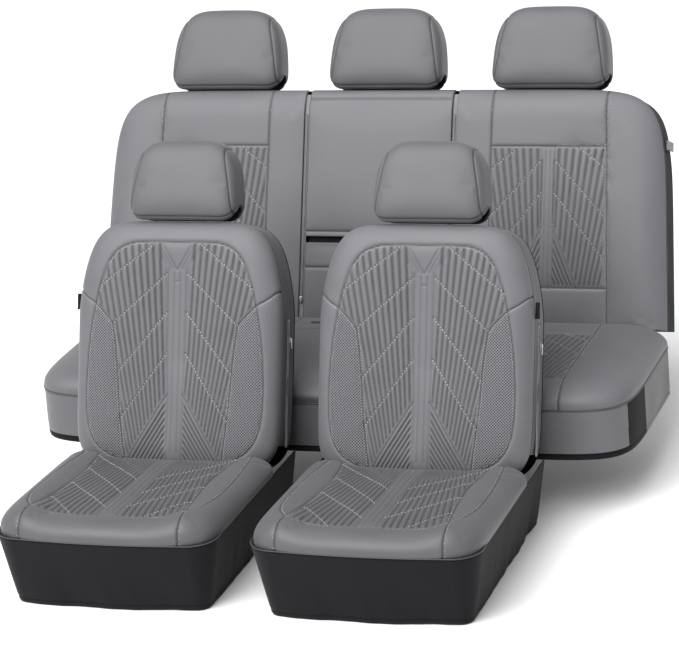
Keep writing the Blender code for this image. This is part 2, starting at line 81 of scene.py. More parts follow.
REAR_ORIGIN, REAR_RECLINE = np.array((0.0, 1.214, 0.345)), math.radians(21.0)
REAR_BOTTOM, REAR_HEIGHT = -0.030, 0.592
REAR_HALF_WIDTH, REAR_TOP_HALF_WIDTH = 0.782, 0.758
REAR_ROLL, REAR_DEPTH, REAR_SPLIT = 0.034, 0.125, 37.0
FLAP_FOOT, FLAP_CLEARANCE, CORNER_SQUARENESS = 0.200, 0.016, 9.0
BACK_FLAT, CUSHION_FLAT, REAR_FLAT = 0.74, 0.80, 0.88    # share of the half width before the rolled edge
CUSHION_SQUARENESS, TAPE_HALF = 7.0, 0.0085

SIDE_ZIP, SIDE_ZIP_DEPTH, REAR_ZIP = (0.040, 0.345), 0.086, (0.020, 0.530)


# ---------------------------------------------------------------- small tools
def blend(low, high, share):
    return low + (high - low) * share


def step(value, low, high):
    """Smooth step from 0 at low to 1 at high."""
    share = np.clip((value - low) / (high - low), 0.0, 1.0)
    return share * share * (3.0 - 2.0 * share)


def bell(distance, width):
    return np.exp(-((distance / width) ** 2))


def squircle(x, y, exponent):
    ring = np.maximum(np.abs(x), np.abs(y))
    angle = np.arctan2(y, x)
    c, s = np.cos(angle), np.sin(angle)
    reach = (np.abs(c) ** exponent + np.abs(s) ** exponent) ** (-1.0 / exponent)
    return ring * reach * c, ring * reach * s


def rim_direction(degrees):
    angle = np.radians(degrees)
    longest = np.maximum(np.abs(np.cos(angle)), np.abs(np.sin(angle)))
    return np.cos(angle) / longest, np.sin(angle) / longest


def roll(ring, start):
    share = np.clip((ring - start) / (1.0 - start), 0.0, 1.0)
    return 1.0 - np.sqrt(np.clip(1.0 - share * share, 0.0, 1.0))


def rim_lines(flat, start, rolled, lip=3):
    """Grid lines from centre to rim: even on the flat and round the roll, past 1 on the lip."""
    level = np.linspace(0.0, start, flat, endpoint=False)
    turn = start + (1.0 - start) * np.sin(np.linspace(0.0, math.pi / 2, rolled))
    return np.concatenate([level, turn, 1.0 + 0.01 * np.arange(1, lip + 1) / lip])


def both_ways(lines):
    return np.concatenate([-lines[:0:-1], lines])


def lip_share(*coordinates):
    """How far past the rim a point is, 0 to 1, and the coordinates cut back to it."""
    past = np.max([np.clip(np.abs(c) - 1.0, 0.0, 0.01) / 0.01 for c in coordinates], axis=0)
    return past, [np.clip(c, -1.0, 1.0) for c in coordinates]


def curve(points, steps=10):
    """A smooth line through the points, as an array."""
    p = np.array(points, float)
    p = np.vstack([2 * p[0] - p[1], p, 2 * p[-1] - p[-2]])
    t = np.linspace(0.0, 1.0, steps, endpoint=False)[:, None]
    parts = []
    for a, b, c, d in zip(p[:-3], p[1:-2], p[2:-1], p[3:]):
        parts.append(0.5 * (2 * b + (c - a) * t + (2 * a - 5 * b + 4 * c - d) * t ** 2
                            + (3 * b - a - 3 * c + d) * t ** 3))
    return np.vstack(parts + [p[-2:-1]])


def distance(points, line):
    """Distance of each (n, 2) point to a polyline."""
    nearest = np.full(len(points), 9.0)
    for a, b in zip(line[:-1], line[1:]):
        edge = b - a
        share = np.clip(((points - a) @ edge) / max(edge @ edge, 1e-12), 0.0, 1.0)
        gap = points - a - share[:, None] * edge
        nearest = np.minimum(nearest, np.hypot(gap[:, 0], gap[:, 1]))
    return nearest


def inside(points, outline):
    """Whether each (n, 2) point lies in a closed outline."""
    found = np.zeros(len(points), bool)
    for a, b in zip(outline, np.roll(outline, -1, axis=0)):
        crosses = (a[1] > points[:, 1]) != (b[1] > points[:, 1])
        rise = b[1] - a[1] if abs(b[1] - a[1]) > 1e-12 else 1e-12
        found ^= crosses & (points[:, 0] < a[0] + (b[0] - a[0]) * (points[:, 1] - a[1]) / rise)
    return found


def stacked(*axes):
    """Points from their coordinates, each an array or one number."""
    return np.stack(np.broadcast_arrays(*axes), axis=-1)


def upright(points, origin, recline):
    """From a backrest's tilted frame to the row frame."""
    c, s = math.cos(recline), math.sin(recline)
    x, y, z = points[..., 0], points[..., 1], points[..., 2]
    return stacked(x, y * c + z * s, z * c - y * s) + origin - DATUM


def on_front_back(points):
    return upright(points, BACK_ORIGIN, BACK_RECLINE)


def on_rear_back(points):
    return upright(points, REAR_ORIGIN, REAR_RECLINE)


def grid_normals(points):
    normal = np.cross(np.gradient(points, axis=1), np.gradient(points, axis=0))
    return normal / np.maximum(np.linalg.norm(normal, axis=-1, keepdims=True), 1e-12)


def raised(points, height):
    """A grid moved outwards along its own normals."""
    return points + height[..., None] * grid_normals(points)


def lengths(points):
    """Running length along each row of a grid."""
    steps = np.linalg.norm(np.diff(points, axis=1), axis=-1)
    return np.concatenate([np.zeros((len(points), 1)), np.cumsum(steps, axis=1)], axis=1)


# ---------------------------------------------------------------- meshes
def grid_faces(rows, columns, offset=0, flip=False):
    index = np.arange(rows * columns).reshape(rows, columns) + offset
    quads = stacked(index[:-1, :-1], index[:-1, 1:], index[1:, 1:], index[1:, :-1]).reshape(-1, 4)
    return quads[:, ::-1] if flip else quads


def ring_faces(rings, sides, closed=False):
    """Quads between rings of points that each close on themselves."""
    r, i = np.meshgrid(np.arange(rings if closed else rings - 1), np.arange(sides), indexing="ij")
    q, j = (r + 1) % rings, (i + 1) % sides
    return stacked(r * sides + i, q * sides + i, q * sides + j, r * sides + j).reshape(-1, 4)


def linked(name, data):
    """A new object in the scene."""
    thing = bpy.data.objects.new(name, data)
    bpy.context.scene.collection.objects.link(thing)
    return thing


def new_mesh(name, vertices, faces, uv=None, marks=None, smooth=True):
    mesh = bpy.data.meshes.new(name)
    vertices = np.asarray(vertices, np.float32).reshape(-1, 3)
    faces = np.asarray(faces, np.int32).reshape(-1, 4)
    mesh.vertices.add(len(vertices))
    mesh.vertices.foreach_set("co", vertices.ravel())
    mesh.loops.add(faces.size)
    mesh.loops.foreach_set("vertex_index", faces.ravel())
    mesh.polygons.add(len(faces))
    mesh.polygons.foreach_set("loop_start", np.arange(0, faces.size, 4, dtype=np.int32))
    mesh.polygons.foreach_set("loop_total", np.full(len(faces), 4, np.int32))
    mesh.polygons.foreach_set("use_smooth", np.full(len(faces), smooth))
    if uv is not None:
        layer = mesh.uv_layers.new(name="UVMap")
        layer.data.foreach_set("uv", np.asarray(uv, np.float32).reshape(-1, 2)[faces.ravel()].ravel())
    for key, values in (marks or {}).items():
        attribute = mesh.attributes.new(key, "FLOAT", "POINT")
        attribute.data.foreach_set("value", np.asarray(values, np.float32).ravel())
    mesh.update(calc_edges=True)
    mesh.validate()
    return mesh


def add_piece(name, mesh, material, body="root", replaces=()):
    """A visible piece on its body, in place of the frame's nodes that it stands for."""
    piece = linked(name, mesh)
    mesh.materials.clear()
    mesh.materials.append(material)
    if body:
        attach(piece, body)
    if replaces:
        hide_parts(*replaces)
    return piece


def panel_mesh(name, points, uv, thickness, marks=None, stride=5):
    """A fine face, a strip round its rim, and a coarser lining behind it."""
    rows, columns = points.shape[:2]
    marks = marks or {"dark": np.zeros((rows, columns))}
    back = points - thickness * grid_normals(points)
    vertices, faces = [points.reshape(-1, 3)], [grid_faces(rows, columns)]
    count = rows * columns
    uvs, values = [uv.reshape(-1, 2)], {k: [v.ravel()] for k, v in marks.items()}

    def extend(new, new_uv, quads):
        nonlocal count
        vertices.append(new.reshape(-1, 3))
        uvs.append(new_uv.reshape(-1, 2))
        for v in values.values():
            v.append(np.zeros(len(vertices[-1])))
        faces.append(quads)
        count += len(vertices[-1])

    def ring(a):
        return np.concatenate([a[0, :-1], a[:-1, -1], a[-1, :0:-1], a[:0:-1, 0]])

    rim, rim_uv = ring(back), ring(uv)
    edge = ring(np.arange(rows * columns).reshape(rows, columns)).astype(int)
    inner = np.arange(len(rim)) + count
    extend(rim, rim_uv, stacked(edge, inner, np.roll(inner, -1), np.roll(edge, -1)))
    pick_r = np.unique(np.append(np.arange(0, rows, stride), rows - 1))
    pick_c = np.unique(np.append(np.arange(0, columns, stride), columns - 1))
    lining, lining_uv = back[np.ix_(pick_r, pick_c)], uv[np.ix_(pick_r, pick_c)]
    extend(lining, lining_uv, grid_faces(len(pick_r), len(pick_c), count, flip=True))
    return new_mesh(name, np.vstack(vertices), np.vstack(faces), np.vstack(uvs),
                    {k: np.concatenate(v) for k, v in values.items()})


def cubic_weights(fine, coarse, stride):
    """Matrix that reads a smooth curve through coarse samples at every fine line."""
    weights = np.zeros((fine, coarse))
    for i in range(fine):
        place = min(i / stride, coarse - 1)
        k = min(int(place), coarse - 2)
        t = place - k
        parts = (-0.5 * t + t * t - 0.5 * t ** 3, 1 - 2.5 * t * t + 1.5 * t ** 3,
                 0.5 * t + 2 * t * t - 1.5 * t ** 3, -0.5 * t * t + 0.5 * t ** 3)
        for j, part in enumerate(parts):
            weights[i, min(max(k - 1 + j, 0), coarse - 1)] += part
    return weights


def puffed(points, seam_gap, pressure, cap, stride=5, reach=0.005, frames=20):
    """The panel blown up by its padding between the seams that hold it, by cloth simulation."""
    rows, columns = points.shape[:2]
    few_r, few_c = (rows - 1) // stride + 1, (columns - 1) // stride + 1
    coarse = points[::stride, ::stride][:few_r, :few_c]
    held = (seam_gap[::stride, ::stride][:few_r, :few_c] < reach).astype(bool)
    held[0, :] = held[-1, :] = held[:, 0] = held[:, -1] = True
    mesh = new_mesh("panel_sim", coarse, grid_faces(few_r, few_c))
    sheet = linked("panel_sim", mesh)
    group = sheet.vertex_groups.new(name="seams")
    group.add([int(i) for i in np.flatnonzero(held.ravel())], 1.0, "REPLACE")
    cloth = sheet.modifiers.new("cloth", "CLOTH")
    cloth.settings.quality = 6
    cloth.settings.use_pressure = True
    cloth.settings.uniform_pressure_force = pressure
    cloth.settings.vertex_group_mass = "seams"
    cloth.settings.effector_weights.gravity = 0.0
    cloth.collision_settings.use_collision = False
    cloth.collision_settings.use_self_collision = False
    cloth.point_cache.frame_start, cloth.point_cache.frame_end = 1, frames
    for number in range(1, frames + 1):
        bpy.context.scene.frame_set(number)
    blown = sheet.evaluated_get(bpy.context.evaluated_depsgraph_get()).to_mesh()
    moved = np.empty(few_r * few_c * 3, np.float32)
    blown.vertices.foreach_get("co", moved)
    bpy.data.objects.remove(sheet, do_unlink=True)
    bpy.context.scene.frame_set(1)
    shift = moved.reshape(few_r, few_c, 3) - coarse
    size = np.linalg.norm(shift, axis=-1, keepdims=True)
    shift = shift * cap * np.tanh(size / cap) / np.maximum(size, 1e-9)
    print(f"puff {size.max() * 1000:.1f} mm before the cap, {size.mean() * 1000:.1f} mean")
    down, over = cubic_weights(rows, few_r, stride), cubic_weights(columns, few_c, stride)
    return points + np.einsum("ia,abk,jb->ijk", down, shift, over)


class Surface:
    """A finished panel that stitches and piping can be laid on, by panel coordinates."""

    def __init__(self, plan, points, normals):
        grids = (points, normals, plan)
        self.points, self.normals, self.plan = (a.reshape(-1, a.shape[-1]) for a in grids)
        self.tree = KDTree(len(self.plan))
        for i, (x, y) in enumerate(self.plan):
            self.tree.insert((x, y, 0.0), i)
        self.tree.balance()

    def at(self, x, y):
        found = self.tree.find_n((x, y, 0.0), 4)
        weight = np.array([1.0 / (f[2] + 1e-5) for f in found])
        weight /= weight.sum()
        index = [f[1] for f in found]
        normal = weight @ self.normals[index]
        return weight @ self.points[index], normal / np.linalg.norm(normal)


def along(line, pitch):
    """Points every pitch along a polyline."""
    line = np.asarray(line, float)
    edges = np.linalg.norm(np.diff(line, axis=0), axis=1)
    total = np.concatenate([[0.0], np.cumsum(edges)])
    where = np.arange(pitch / 2, total[-1], pitch)
    k = np.clip(np.searchsorted(total, where) - 1, 0, len(edges) - 1)
    share = ((where - total[k]) / np.maximum(edges[k], 1e-12))[:, None]
    return line[k] * (1 - share) + line[k + 1] * share


REVERSED = [0, 3, 2, 1]


def stitches(surface, lines, pitch=0.0065, length=0.0042, radius=0.00065, lift=0.0002):
    """Vertices and faces of real stitches: short rounded threads along each line."""
    sides, rings = 5, ((-0.5, 0.25), (-0.36, 0.85), (0.0, 1.0), (0.36, 0.85), (0.5, 0.25))
    vertices, faces, count = [], [], 0
    angle, thread = np.arange(sides) * 2 * math.pi / sides, ring_faces(len(rings), sides)[:, REVERSED]
    for line in lines:
        spots = along(line, pitch)
        if len(spots) < 2:
            continue
        places = [surface.at(*p) for p in spots]
        centres = np.array([p[0] for p in places])
        heading = np.gradient(centres, axis=0)
        for (centre, normal), ahead in zip(places, heading):
            ahead = ahead / max(np.linalg.norm(ahead), 1e-9)
            side = np.cross(ahead, normal)
            side /= max(np.linalg.norm(side), 1e-9)
            up = np.cross(side, ahead)
            for share, swell in rings:
                dip = -0.0006 * (2 * share) ** 4
                middle = centre + ahead * share * length + up * (lift + dip)
                vertices.append(middle + radius * swell * (np.cos(angle)[:, None] * side
                                                           + np.sin(angle)[:, None] * up))
            faces.append(thread + count)
            count += len(rings) * sides
    return np.vstack(vertices), np.vstack(faces)


def tube(line, radius, sides=8, closed=False):
    """Vertices and faces of a round strand along 3-D points."""
    line = np.asarray(line, float)
    heading = np.roll(line, -1, 0) - np.roll(line, 1, 0) if closed else np.gradient(line, axis=0)
    heading /= np.maximum(np.linalg.norm(heading, axis=1, keepdims=True), 1e-9)
    side = np.cross(heading[0], (0.31, 0.17, 0.93))
    side /= np.linalg.norm(side)
    angle = np.arange(sides) * 2 * math.pi / sides
    rings = []
    for point, ahead in zip(line, heading):
        side = side - ahead * (side @ ahead)
        side /= np.linalg.norm(side)
        up = np.cross(ahead, side)
        rings.append(point + radius * (np.cos(angle)[:, None] * side + np.sin(angle)[:, None] * up))
    faces = [ring_faces(len(line), sides, closed)]
    if not closed:
        last = np.arange(sides) + (len(line) - 1) * sides
        faces += [[ends[[0, k, k + 1, k + 2]]] for ends in (np.arange(sides)[::-1], last)
                  for k in range(1, sides - 2, 2)]
    return np.vstack(rings), np.vstack(faces)


def joined(name, parts):
    """One mesh of many parts."""
    vertices, faces, count = [], [], 0
    for v, f in parts:
        vertices.append(v)
        faces.append(np.asarray(f) + count)
        count += len(v)
    return new_mesh(name, np.vstack(vertices), np.vstack(faces))




# ---------------------------------------------------------------- materials
class Nodes:
    """Short calls for a material's node tree."""

    def __init__(self, name):
        self.material = bpy.data.materials.new(name)
        self.material.use_nodes = True
        self.tree = self.material.node_tree
        self.shader = self.tree.nodes["Principled BSDF"]

    def add(self, kind, **settings):
        node = self.tree.nodes.new(kind)
        for key, value in settings.items():
            if key in node.inputs:
                node.inputs[key].default_value = value
            else:
                setattr(node, key, value)
        return node

    def link(self, source, target):
        self.tree.links.new(source, target)

    def math(self, operation, a, b=None):
        node = self.add("ShaderNodeMath", operation=operation)
        for socket, value in zip(node.inputs, (a, b)):
            if isinstance(value, (int, float)):
                socket.default_value = value
            elif value is not None:
                self.link(value, socket)
        return node.outputs[0]

    def mark(self, name):
        return self.add("ShaderNodeAttribute", attribute_name=name).outputs["Fac"]

    def noise(self, vector, scale, detail):
        node = self.add("ShaderNodeTexNoise", Scale=scale, Detail=detail, Roughness=0.5)
        self.link(vector, node.inputs["Vector"])
        return node.outputs["Fac"]

    def ramp(self, value, low, high, to_low=0.0, to_high=1.0):
        node = self.tree.nodes.new("ShaderNodeMapRange")
        self.link(value, node.inputs["Value"])
        for key, number in (("From Min", low), ("From Max", high), ("To Min", to_low), ("To Max", to_high)):
            node.inputs[key].default_value = number
        return node.outputs["Result"]

    def mix(self, share, first, second):
        node = self.add("ShaderNodeMix", data_type="RGBA")
        self.link(share, node.inputs["Factor"])
        for socket, colour in ((node.inputs[6], first), (node.inputs[7], second)):
            if isinstance(colour, tuple):
                socket.default_value = (*colour, 1.0)
            else:
                self.link(colour, socket)
        return node.outputs[2]

    def bump(self, height, strength, depth, after=None):
        node = self.add("ShaderNodeBump", Strength=strength, Distance=depth)
        self.link(height, node.inputs["Height"])
        if after is not None:
            self.link(after, node.inputs["Normal"])
        return node.outputs["Normal"]

    def uv(self):
        return self.add("ShaderNodeTexCoord").outputs["UV"]

    def place(self):
        return self.add("ShaderNodeTexCoord").outputs["Object"]


def tint(colour, share):
    return tuple(min(c * share, 1.0) for c in colour)


def leatherette(name, colour, dark, meshed=False):
    """Satin foam-backed leatherette: fine grain, faint mottling, and painted shade in its seams and grooves."""
    n = Nodes(name)
    place = n.place()
    grain_cells = n.add("ShaderNodeTexVoronoi", feature="DISTANCE_TO_EDGE")
    grain_cells.inputs["Scale"].default_value = 1100.0
    n.link(place, grain_cells.inputs["Vector"])
    grain = n.ramp(grain_cells.outputs["Distance"], 0.0, 0.14)
    broad = n.noise(place, 9.0, 4.0)
    fine = n.noise(place, 260.0, 2.0)
    light = n.mix(n.ramp(broad, 0.35, 0.65), tint(colour, 0.94), tint(colour, 1.05))
    worn = n.mix(n.math("MULTIPLY", n.ramp(fine, 0.3, 0.7), 0.35), light, tint(colour, 0.88))
    # Painted shade: the dark mark pulls the colour towards the shadow colour along seams, rib valleys and dashed
    # lines.
    painted_shade_mark = n.mark("dark")
    tone = n.mix(painted_shade_mark, worn, dark)
    rough = n.ramp(broad, 0.3, 0.7, 0.46, 0.56)
    height = n.math("ADD", n.math("MULTIPLY", grain, 0.5), n.math("MULTIPLY", fine, 0.5))
    normal = n.bump(height, 0.22, 0.0003)
    if meshed:
        uv = n.add("ShaderNodeSeparateXYZ")
        n.link(n.uv(), uv.inputs[0])
        pitch = 2 * math.pi / MESH_PITCH
        rows = []
        for way in ("ADD", "SUBTRACT"):
            across = n.math("MULTIPLY", n.math(way, uv.outputs[0], uv.outputs[1]), pitch / 2)
            rows.append(n.ramp(n.math("ABSOLUTE", n.math("SINE", across)), 0.30, 0.65))
        hole = n.math("MULTIPLY", *rows)
        netted = n.mark("mesh")
        hole = n.math("MULTIPLY", hole, netted)
        net = n.mix(n.math("MULTIPLY", netted, 0.90), tone, tint(colour, 1.75))
        # Painted shade in the net's holes, mixed towards the shadow colour; the same hole pattern also drives the
        # bump.
        tone = n.mix(n.math("MULTIPLY", hole, 0.95), net, dark)
        rough = n.math("ADD", rough, n.math("MULTIPLY", netted, 0.14))
        normal = n.bump(hole, 0.9, 0.0010, normal)
    n.link(tone, n.shader.inputs["Base Color"])
    n.link(rough, n.shader.inputs["Roughness"])
    n.link(normal, n.shader.inputs["Normal"])
    n.shader.inputs["Specular IOR Level"].default_value = 0.42
    n.shader.inputs["Sheen Weight"].default_value = 0.12
    n.shader.inputs["Sheen Roughness"].default_value = 0.4
    return n.material


def cloth(name, colour, pitch, sheen, rough=0.82):
    """Woven cloth: over-and-under threads, lint, slow variation, and painted shade where the dark mark is set."""
    n = Nodes(name)
    uv = n.add("ShaderNodeSeparateXYZ")
    n.link(n.uv(), uv.inputs[0])
    place = n.place()
    rate = 2 * math.pi / pitch
    warp = n.math("SINE", n.math("MULTIPLY", uv.outputs[0], rate))
    weft = n.math("SINE", n.math("MULTIPLY", uv.outputs[1], rate))
    weave = n.ramp(n.math("MULTIPLY", warp, weft), -1.0, 1.0)
    slow, lint = n.noise(place, 7.0, 4.0), n.noise(place, 900.0, 2.0)
    tone = n.mix(n.ramp(slow, 0.3, 0.7), tint(colour, 0.85), tint(colour, 1.2))
    tone = n.mix(n.math("MULTIPLY", weave, 0.4), tone, tint(colour, 0.55))
    tone = n.mix(n.ramp(lint, 0.62, 0.80, 0.0, 0.35), tone, tint(colour, 2.2))
    # Painted shade: the dark mark darkens hems, seams, strip edges and the slit patch.
    tone = n.mix(n.mark("dark"), tone, tint(colour, 0.3))
    n.link(tone, n.shader.inputs["Base Color"])
    n.link(n.ramp(slow, 0.3, 0.7, rough - 0.05, rough + 0.05), n.shader.inputs["Roughness"])
    n.link(n.bump(weave, 0.5, pitch * 0.25, n.bump(lint, 0.2, 0.0003)), n.shader.inputs["Normal"])
    n.shader.inputs["Sheen Weight"].default_value = sheen
    n.shader.inputs["Sheen Roughness"].default_value = 0.5
    n.shader.inputs["Specular IOR Level"].default_value = 0.14
    return n.material


def moulded(name, colour, rough, metallic=0.0, scale=350.0):
    """Plastic or plated metal, with a fine texture and worn, uneven gloss."""
    n = Nodes(name)
    place = n.place()
    fine, slow = n.noise(place, scale, 3.0), n.noise(place, 25.0, 3.0)
    tone = n.mix(n.ramp(slow, 0.35, 0.65), tint(colour, 0.88), tint(colour, 1.12))
    n.link(tone, n.shader.inputs["Base Color"])
    n.link(n.ramp(slow, 0.3, 0.7, rough - 0.07, rough + 0.08), n.shader.inputs["Roughness"])
    n.link(n.bump(fine, 0.25, 0.0002), n.shader.inputs["Normal"])
    n.shader.inputs["Metallic"].default_value = metallic
    return n.material


MESH_PITCH = 0.0072
GREY, SHADOW = (0.106, 0.106, 0.115), (0.004, 0.004, 0.005)
LEATHER = leatherette("grey leatherette", GREY, SHADOW)
NETTED = leatherette("grey leatherette and net", GREY, SHADOW, meshed=True)
# A darker copy of the netted leatherette: painted shade on the front seats' cushions.
SHADED_SEAT_NETTED = leatherette("grey leatherette and net, seats", tint(GREY, 0.74), SHADOW, meshed=True)
# A darker copy of the same leatherette: painted shade on the headrest hoods.
SHADED_HOOD_LEATHER = leatherette("grey leatherette, headrests", tint(GREY, 0.78), SHADOW)
# A darker copy of the same leatherette: painted shade on the backrest walls and top band and on the bench's side
# strips.
SHADED_SIDE_LEATHER = leatherette("grey leatherette, sides", tint(GREY, 0.54), SHADOW)
CHARCOAL = cloth("charcoal cloth", (0.0060, 0.0060, 0.0078), 0.0016, sheen=0.06)
BLACK = cloth("black stretch cloth", (0.0055, 0.0055, 0.0065), 0.0020, sheen=0.05)
ELASTIC = cloth("grey ribbed elastic", (0.170, 0.170, 0.178), 0.0024, sheen=0.35)
THREAD = cloth("light grey thread", (0.420, 0.420, 0.435), 0.0008, sheen=0.5, rough=0.6)
PIPING = leatherette("dark piping", (0.045, 0.045, 0.050), (0.01, 0.01, 0.012))
ZIP_TAPE = cloth("grey zip tape", (0.200, 0.200, 0.210), 0.0012, sheen=0.3)
NYLON = moulded("grey nylon teeth", (0.240, 0.240, 0.250), 0.42)
METAL = moulded("plated zip metal", (0.560, 0.560, 0.570), 0.30, 1.0, 120.0)
PLASTIC = moulded("black moulded plastic", (0.018, 0.018, 0.020), 0.42)


# ---------------------------------------------------------------- quilting
def ribs(phase, depth, sharp=0.7):
    """Rounded ribs with narrow valleys between them, 0 at their crests, and the painted shade in the valleys."""
    crest = np.abs(np.sin(math.pi * phase))
    return -depth * (1.0 - crest ** sharp), (1.0 - crest) ** 1.5


def fan(across, up, centre, turn):
    """Ribs that spread from a point far below the panel, counted by angle."""
    return np.arctan2(across, up - centre) / turn


def quilt(plan, seams, rib_zones, lines, channels=(), net=None, half=True):
    """Height and painted shade over a panel: seams, ribbed zones, dashed lines, channels and net."""
    flat = plan.reshape(-1, 2).copy()
    if half:
        flat[:, 0] = np.abs(flat[:, 0])
    seam = np.min([distance(flat, line) for line in seams], axis=0)
    height = -0.0026 * bell(seam, 0.0021) - 0.0010 * bell(seam, 0.006)
    # Painted shade along the seam grooves.
    dark = 0.88 * bell(seam, 0.0014)
    dashes = np.min([distance(flat, np.array(line)) for line in lines], axis=0) if len(lines) else None
    for outline, phase, depth, shade in rib_zones:
        zone = inside(flat, outline)
        edge = distance(flat, np.vstack([outline, outline[:1]]))
        fade = step(edge, 0.0015, 0.0075) * zone
        if dashes is not None:
            fade = fade * (0.35 + 0.65 * step(dashes, 0.0008, 0.0040))
        drop, valley = ribs(phase(flat), depth)
        height += drop * fade
        # Painted shade in the rib valleys.
        dark = np.maximum(dark, shade * valley * fade)
    if dashes is not None:
        height += -0.0020 * bell(dashes, 0.0018)
        # Painted shade in the dashed lines.
        dark = np.maximum(dark, 0.72 * bell(dashes, 0.0011))
    for line, depth, width, shade in channels:
        gap = distance(flat, line)
        height += -depth * bell(gap, width)
        # Painted shade in the channels.
        dark = np.maximum(dark, shade * bell(gap, width * 0.7))
    netted = np.zeros(len(flat))
    if net is not None:
        netted = inside(flat, net) * step(distance(flat, np.vstack([net, net[:1]])), 0.001, 0.003)
        height -= 0.0004 * netted
    shape = plan.shape[:2]
    return height.reshape(shape), dark.reshape(shape), netted.reshape(shape), seam.reshape(shape)


# ---------------------------------------------------------------- padded panels
def mirrored(line):
    return np.asarray(line)[::-1] * (-1, 1)


def both(lines):
    return [np.array(line) for line in lines] + [mirrored(line) for line in lines]


def rim_gap(plan):
    """Distance of each point of a panel to its own edge, in plan."""
    edge = np.concatenate([plan[0], plan[:, -1], plan[-1, ::-1], plan[::-1, 0]])[::4]
    return distance(plan.reshape(-1, 2), edge).reshape(plan.shape[:2])


class Panel:
    """A quilted panel, puffed by its padding between the seams that hold it."""

    def __init__(self, name, points, plan, seams, zones=(), lines=(), channels=(), net=None, spine=None,
                 pressure=2.4, cap=0.006, stride=6):
        height, dark, netted, seam = quilt(plan, seams, zones, lines, channels, net, half=spine is not None)
        if spine is not None:
            beside = distance(np.abs(plan).reshape(-1, 2), spine).reshape(seam.shape)
            seam = np.minimum(seam, beside + SPINE_GIVE)
        # Panels without ribbed zones get painted shade along their rims.
        if not zones:
            dark = np.maximum(dark, 0.55 * bell(rim_gap(plan), 0.0020))
        self.points = raised(puffed(points, seam, pressure, cap, stride), height)
        self.plan, self.marks = plan, {"dark": dark, "mesh": netted}
        self.mesh = panel_mesh(name, self.points, plan, PANEL_THICKNESS, self.marks)

    def surface(self, pick):
        """Where threads lie on it, from every pick-th point."""
        few = (slice(None, None, pick),) * 2
        return Surface(self.plan[few], self.points[few], grid_normals(self.points)[few])

    def mirror(self, name):
        """The same panel on the other side of the car, still facing outwards."""
        marks = {key: values[:, ::-1] for key, values in self.marks.items()}
        points, plan = self.points[:, ::-1] * (-1, 1, 1), self.plan[:, ::-1] * (-1, 1)
        return panel_mesh(name, points, plan, PANEL_THICKNESS, marks)


def wedge_normal(wedge):
    """Square to a line of wedge ribs, towards the spine."""
    ahead = np.array(wedge[1]) - wedge[0]
    return np.array((-ahead[1], ahead[0])) / np.hypot(*ahead)


PANEL_THICKNESS, SPINE_GIVE = 0.006, 0.002
RIB_TURN, WEDGE_PITCH, REAR_RIB_TURN, REAR_WEDGE_PITCH = 0.0186, 0.0092, 0.0205, 0.0098
RIB, WEDGE_RIB, REAR_WEDGE_RIB = (0.0031, 0.80), (0.0036, 0.95), (0.0038, 0.95)      # depth, shade
SPINE_GROOVE, WEDGE_GROOVE = (0.0011, 0.0020, 0.30), (0.0016, 0.0020, 0.60)          # depth, width, shade
MIDDLE_GROOVE = (0.0012, 0.0016, 0.34)


# ---------------------------------------------------------------- front backrest cover
def back_half_width(height):
    above = np.clip((height - BELT_HIGH) / (BACK_HEIGHT - BELT_HIGH), 0.0, 1.0)
    below = np.clip((BELT_LOW - height) / (BELT_LOW - BACK_BOTTOM), 0.0, 1.0)
    return (BACK_HALF_WIDTH - (BACK_HALF_WIDTH - BACK_SHOULDER) * above ** 1.6
            - (BACK_HALF_WIDTH - BACK_FOOT) * below ** 2)


def back_point(x, y):
    height = blend(BACK_BOTTOM, BACK_HEIGHT, (y + 1.0) / 2.0)
    return x * back_half_width(height), height


def back_rim(degrees):
    return back_point(*squircle(*rim_direction(degrees), BACK_SQUARENESS))


INSET = curve([(0.0, 0.5375), (0.070, 0.5380), (0.120, 0.5330), (0.158, 0.5150), (0.184, 0.4780),
               (0.2010, 0.430), (0.2130, 0.381), (0.2270, 0.300), (0.2340, 0.220), (0.2350, 0.140), (0.2270, 0.075),
               (0.2030, 0.028), (0.168, 0.004), (0.128, -0.0075), (0.060, -0.0110), (0.0, -0.0115)])
SHOULDER = curve([(0.264, 0.418), (0.240, 0.398), (0.213, 0.381), (0.187, 0.356), (0.166, 0.333)])
INNER = curve([(0.166, 0.333), (0.158, 0.280), (0.152, 0.220), (0.146, 0.140), (0.138, 0.070),
               (0.128, -0.0075)])
SPINE = curve([(0.024, 0.4700), (0.0235, 0.300), (0.0215, 0.150), (0.0200, -0.0110)])
BACK_LINES = [((0.056, 0.5370), (0.203, 0.4240)), ((0.027, 0.4590), (0.166, 0.3330)),
              ((0.025, 0.363), (0.151, 0.2110)), ((0.024, 0.2620), (0.141, 0.0950))]
BACK_WEDGE = ((0.0215, 0.158), (0.122, -0.0085))
SHOULDER_END, RIB_FAN_FOOT = 0.381, -0.457


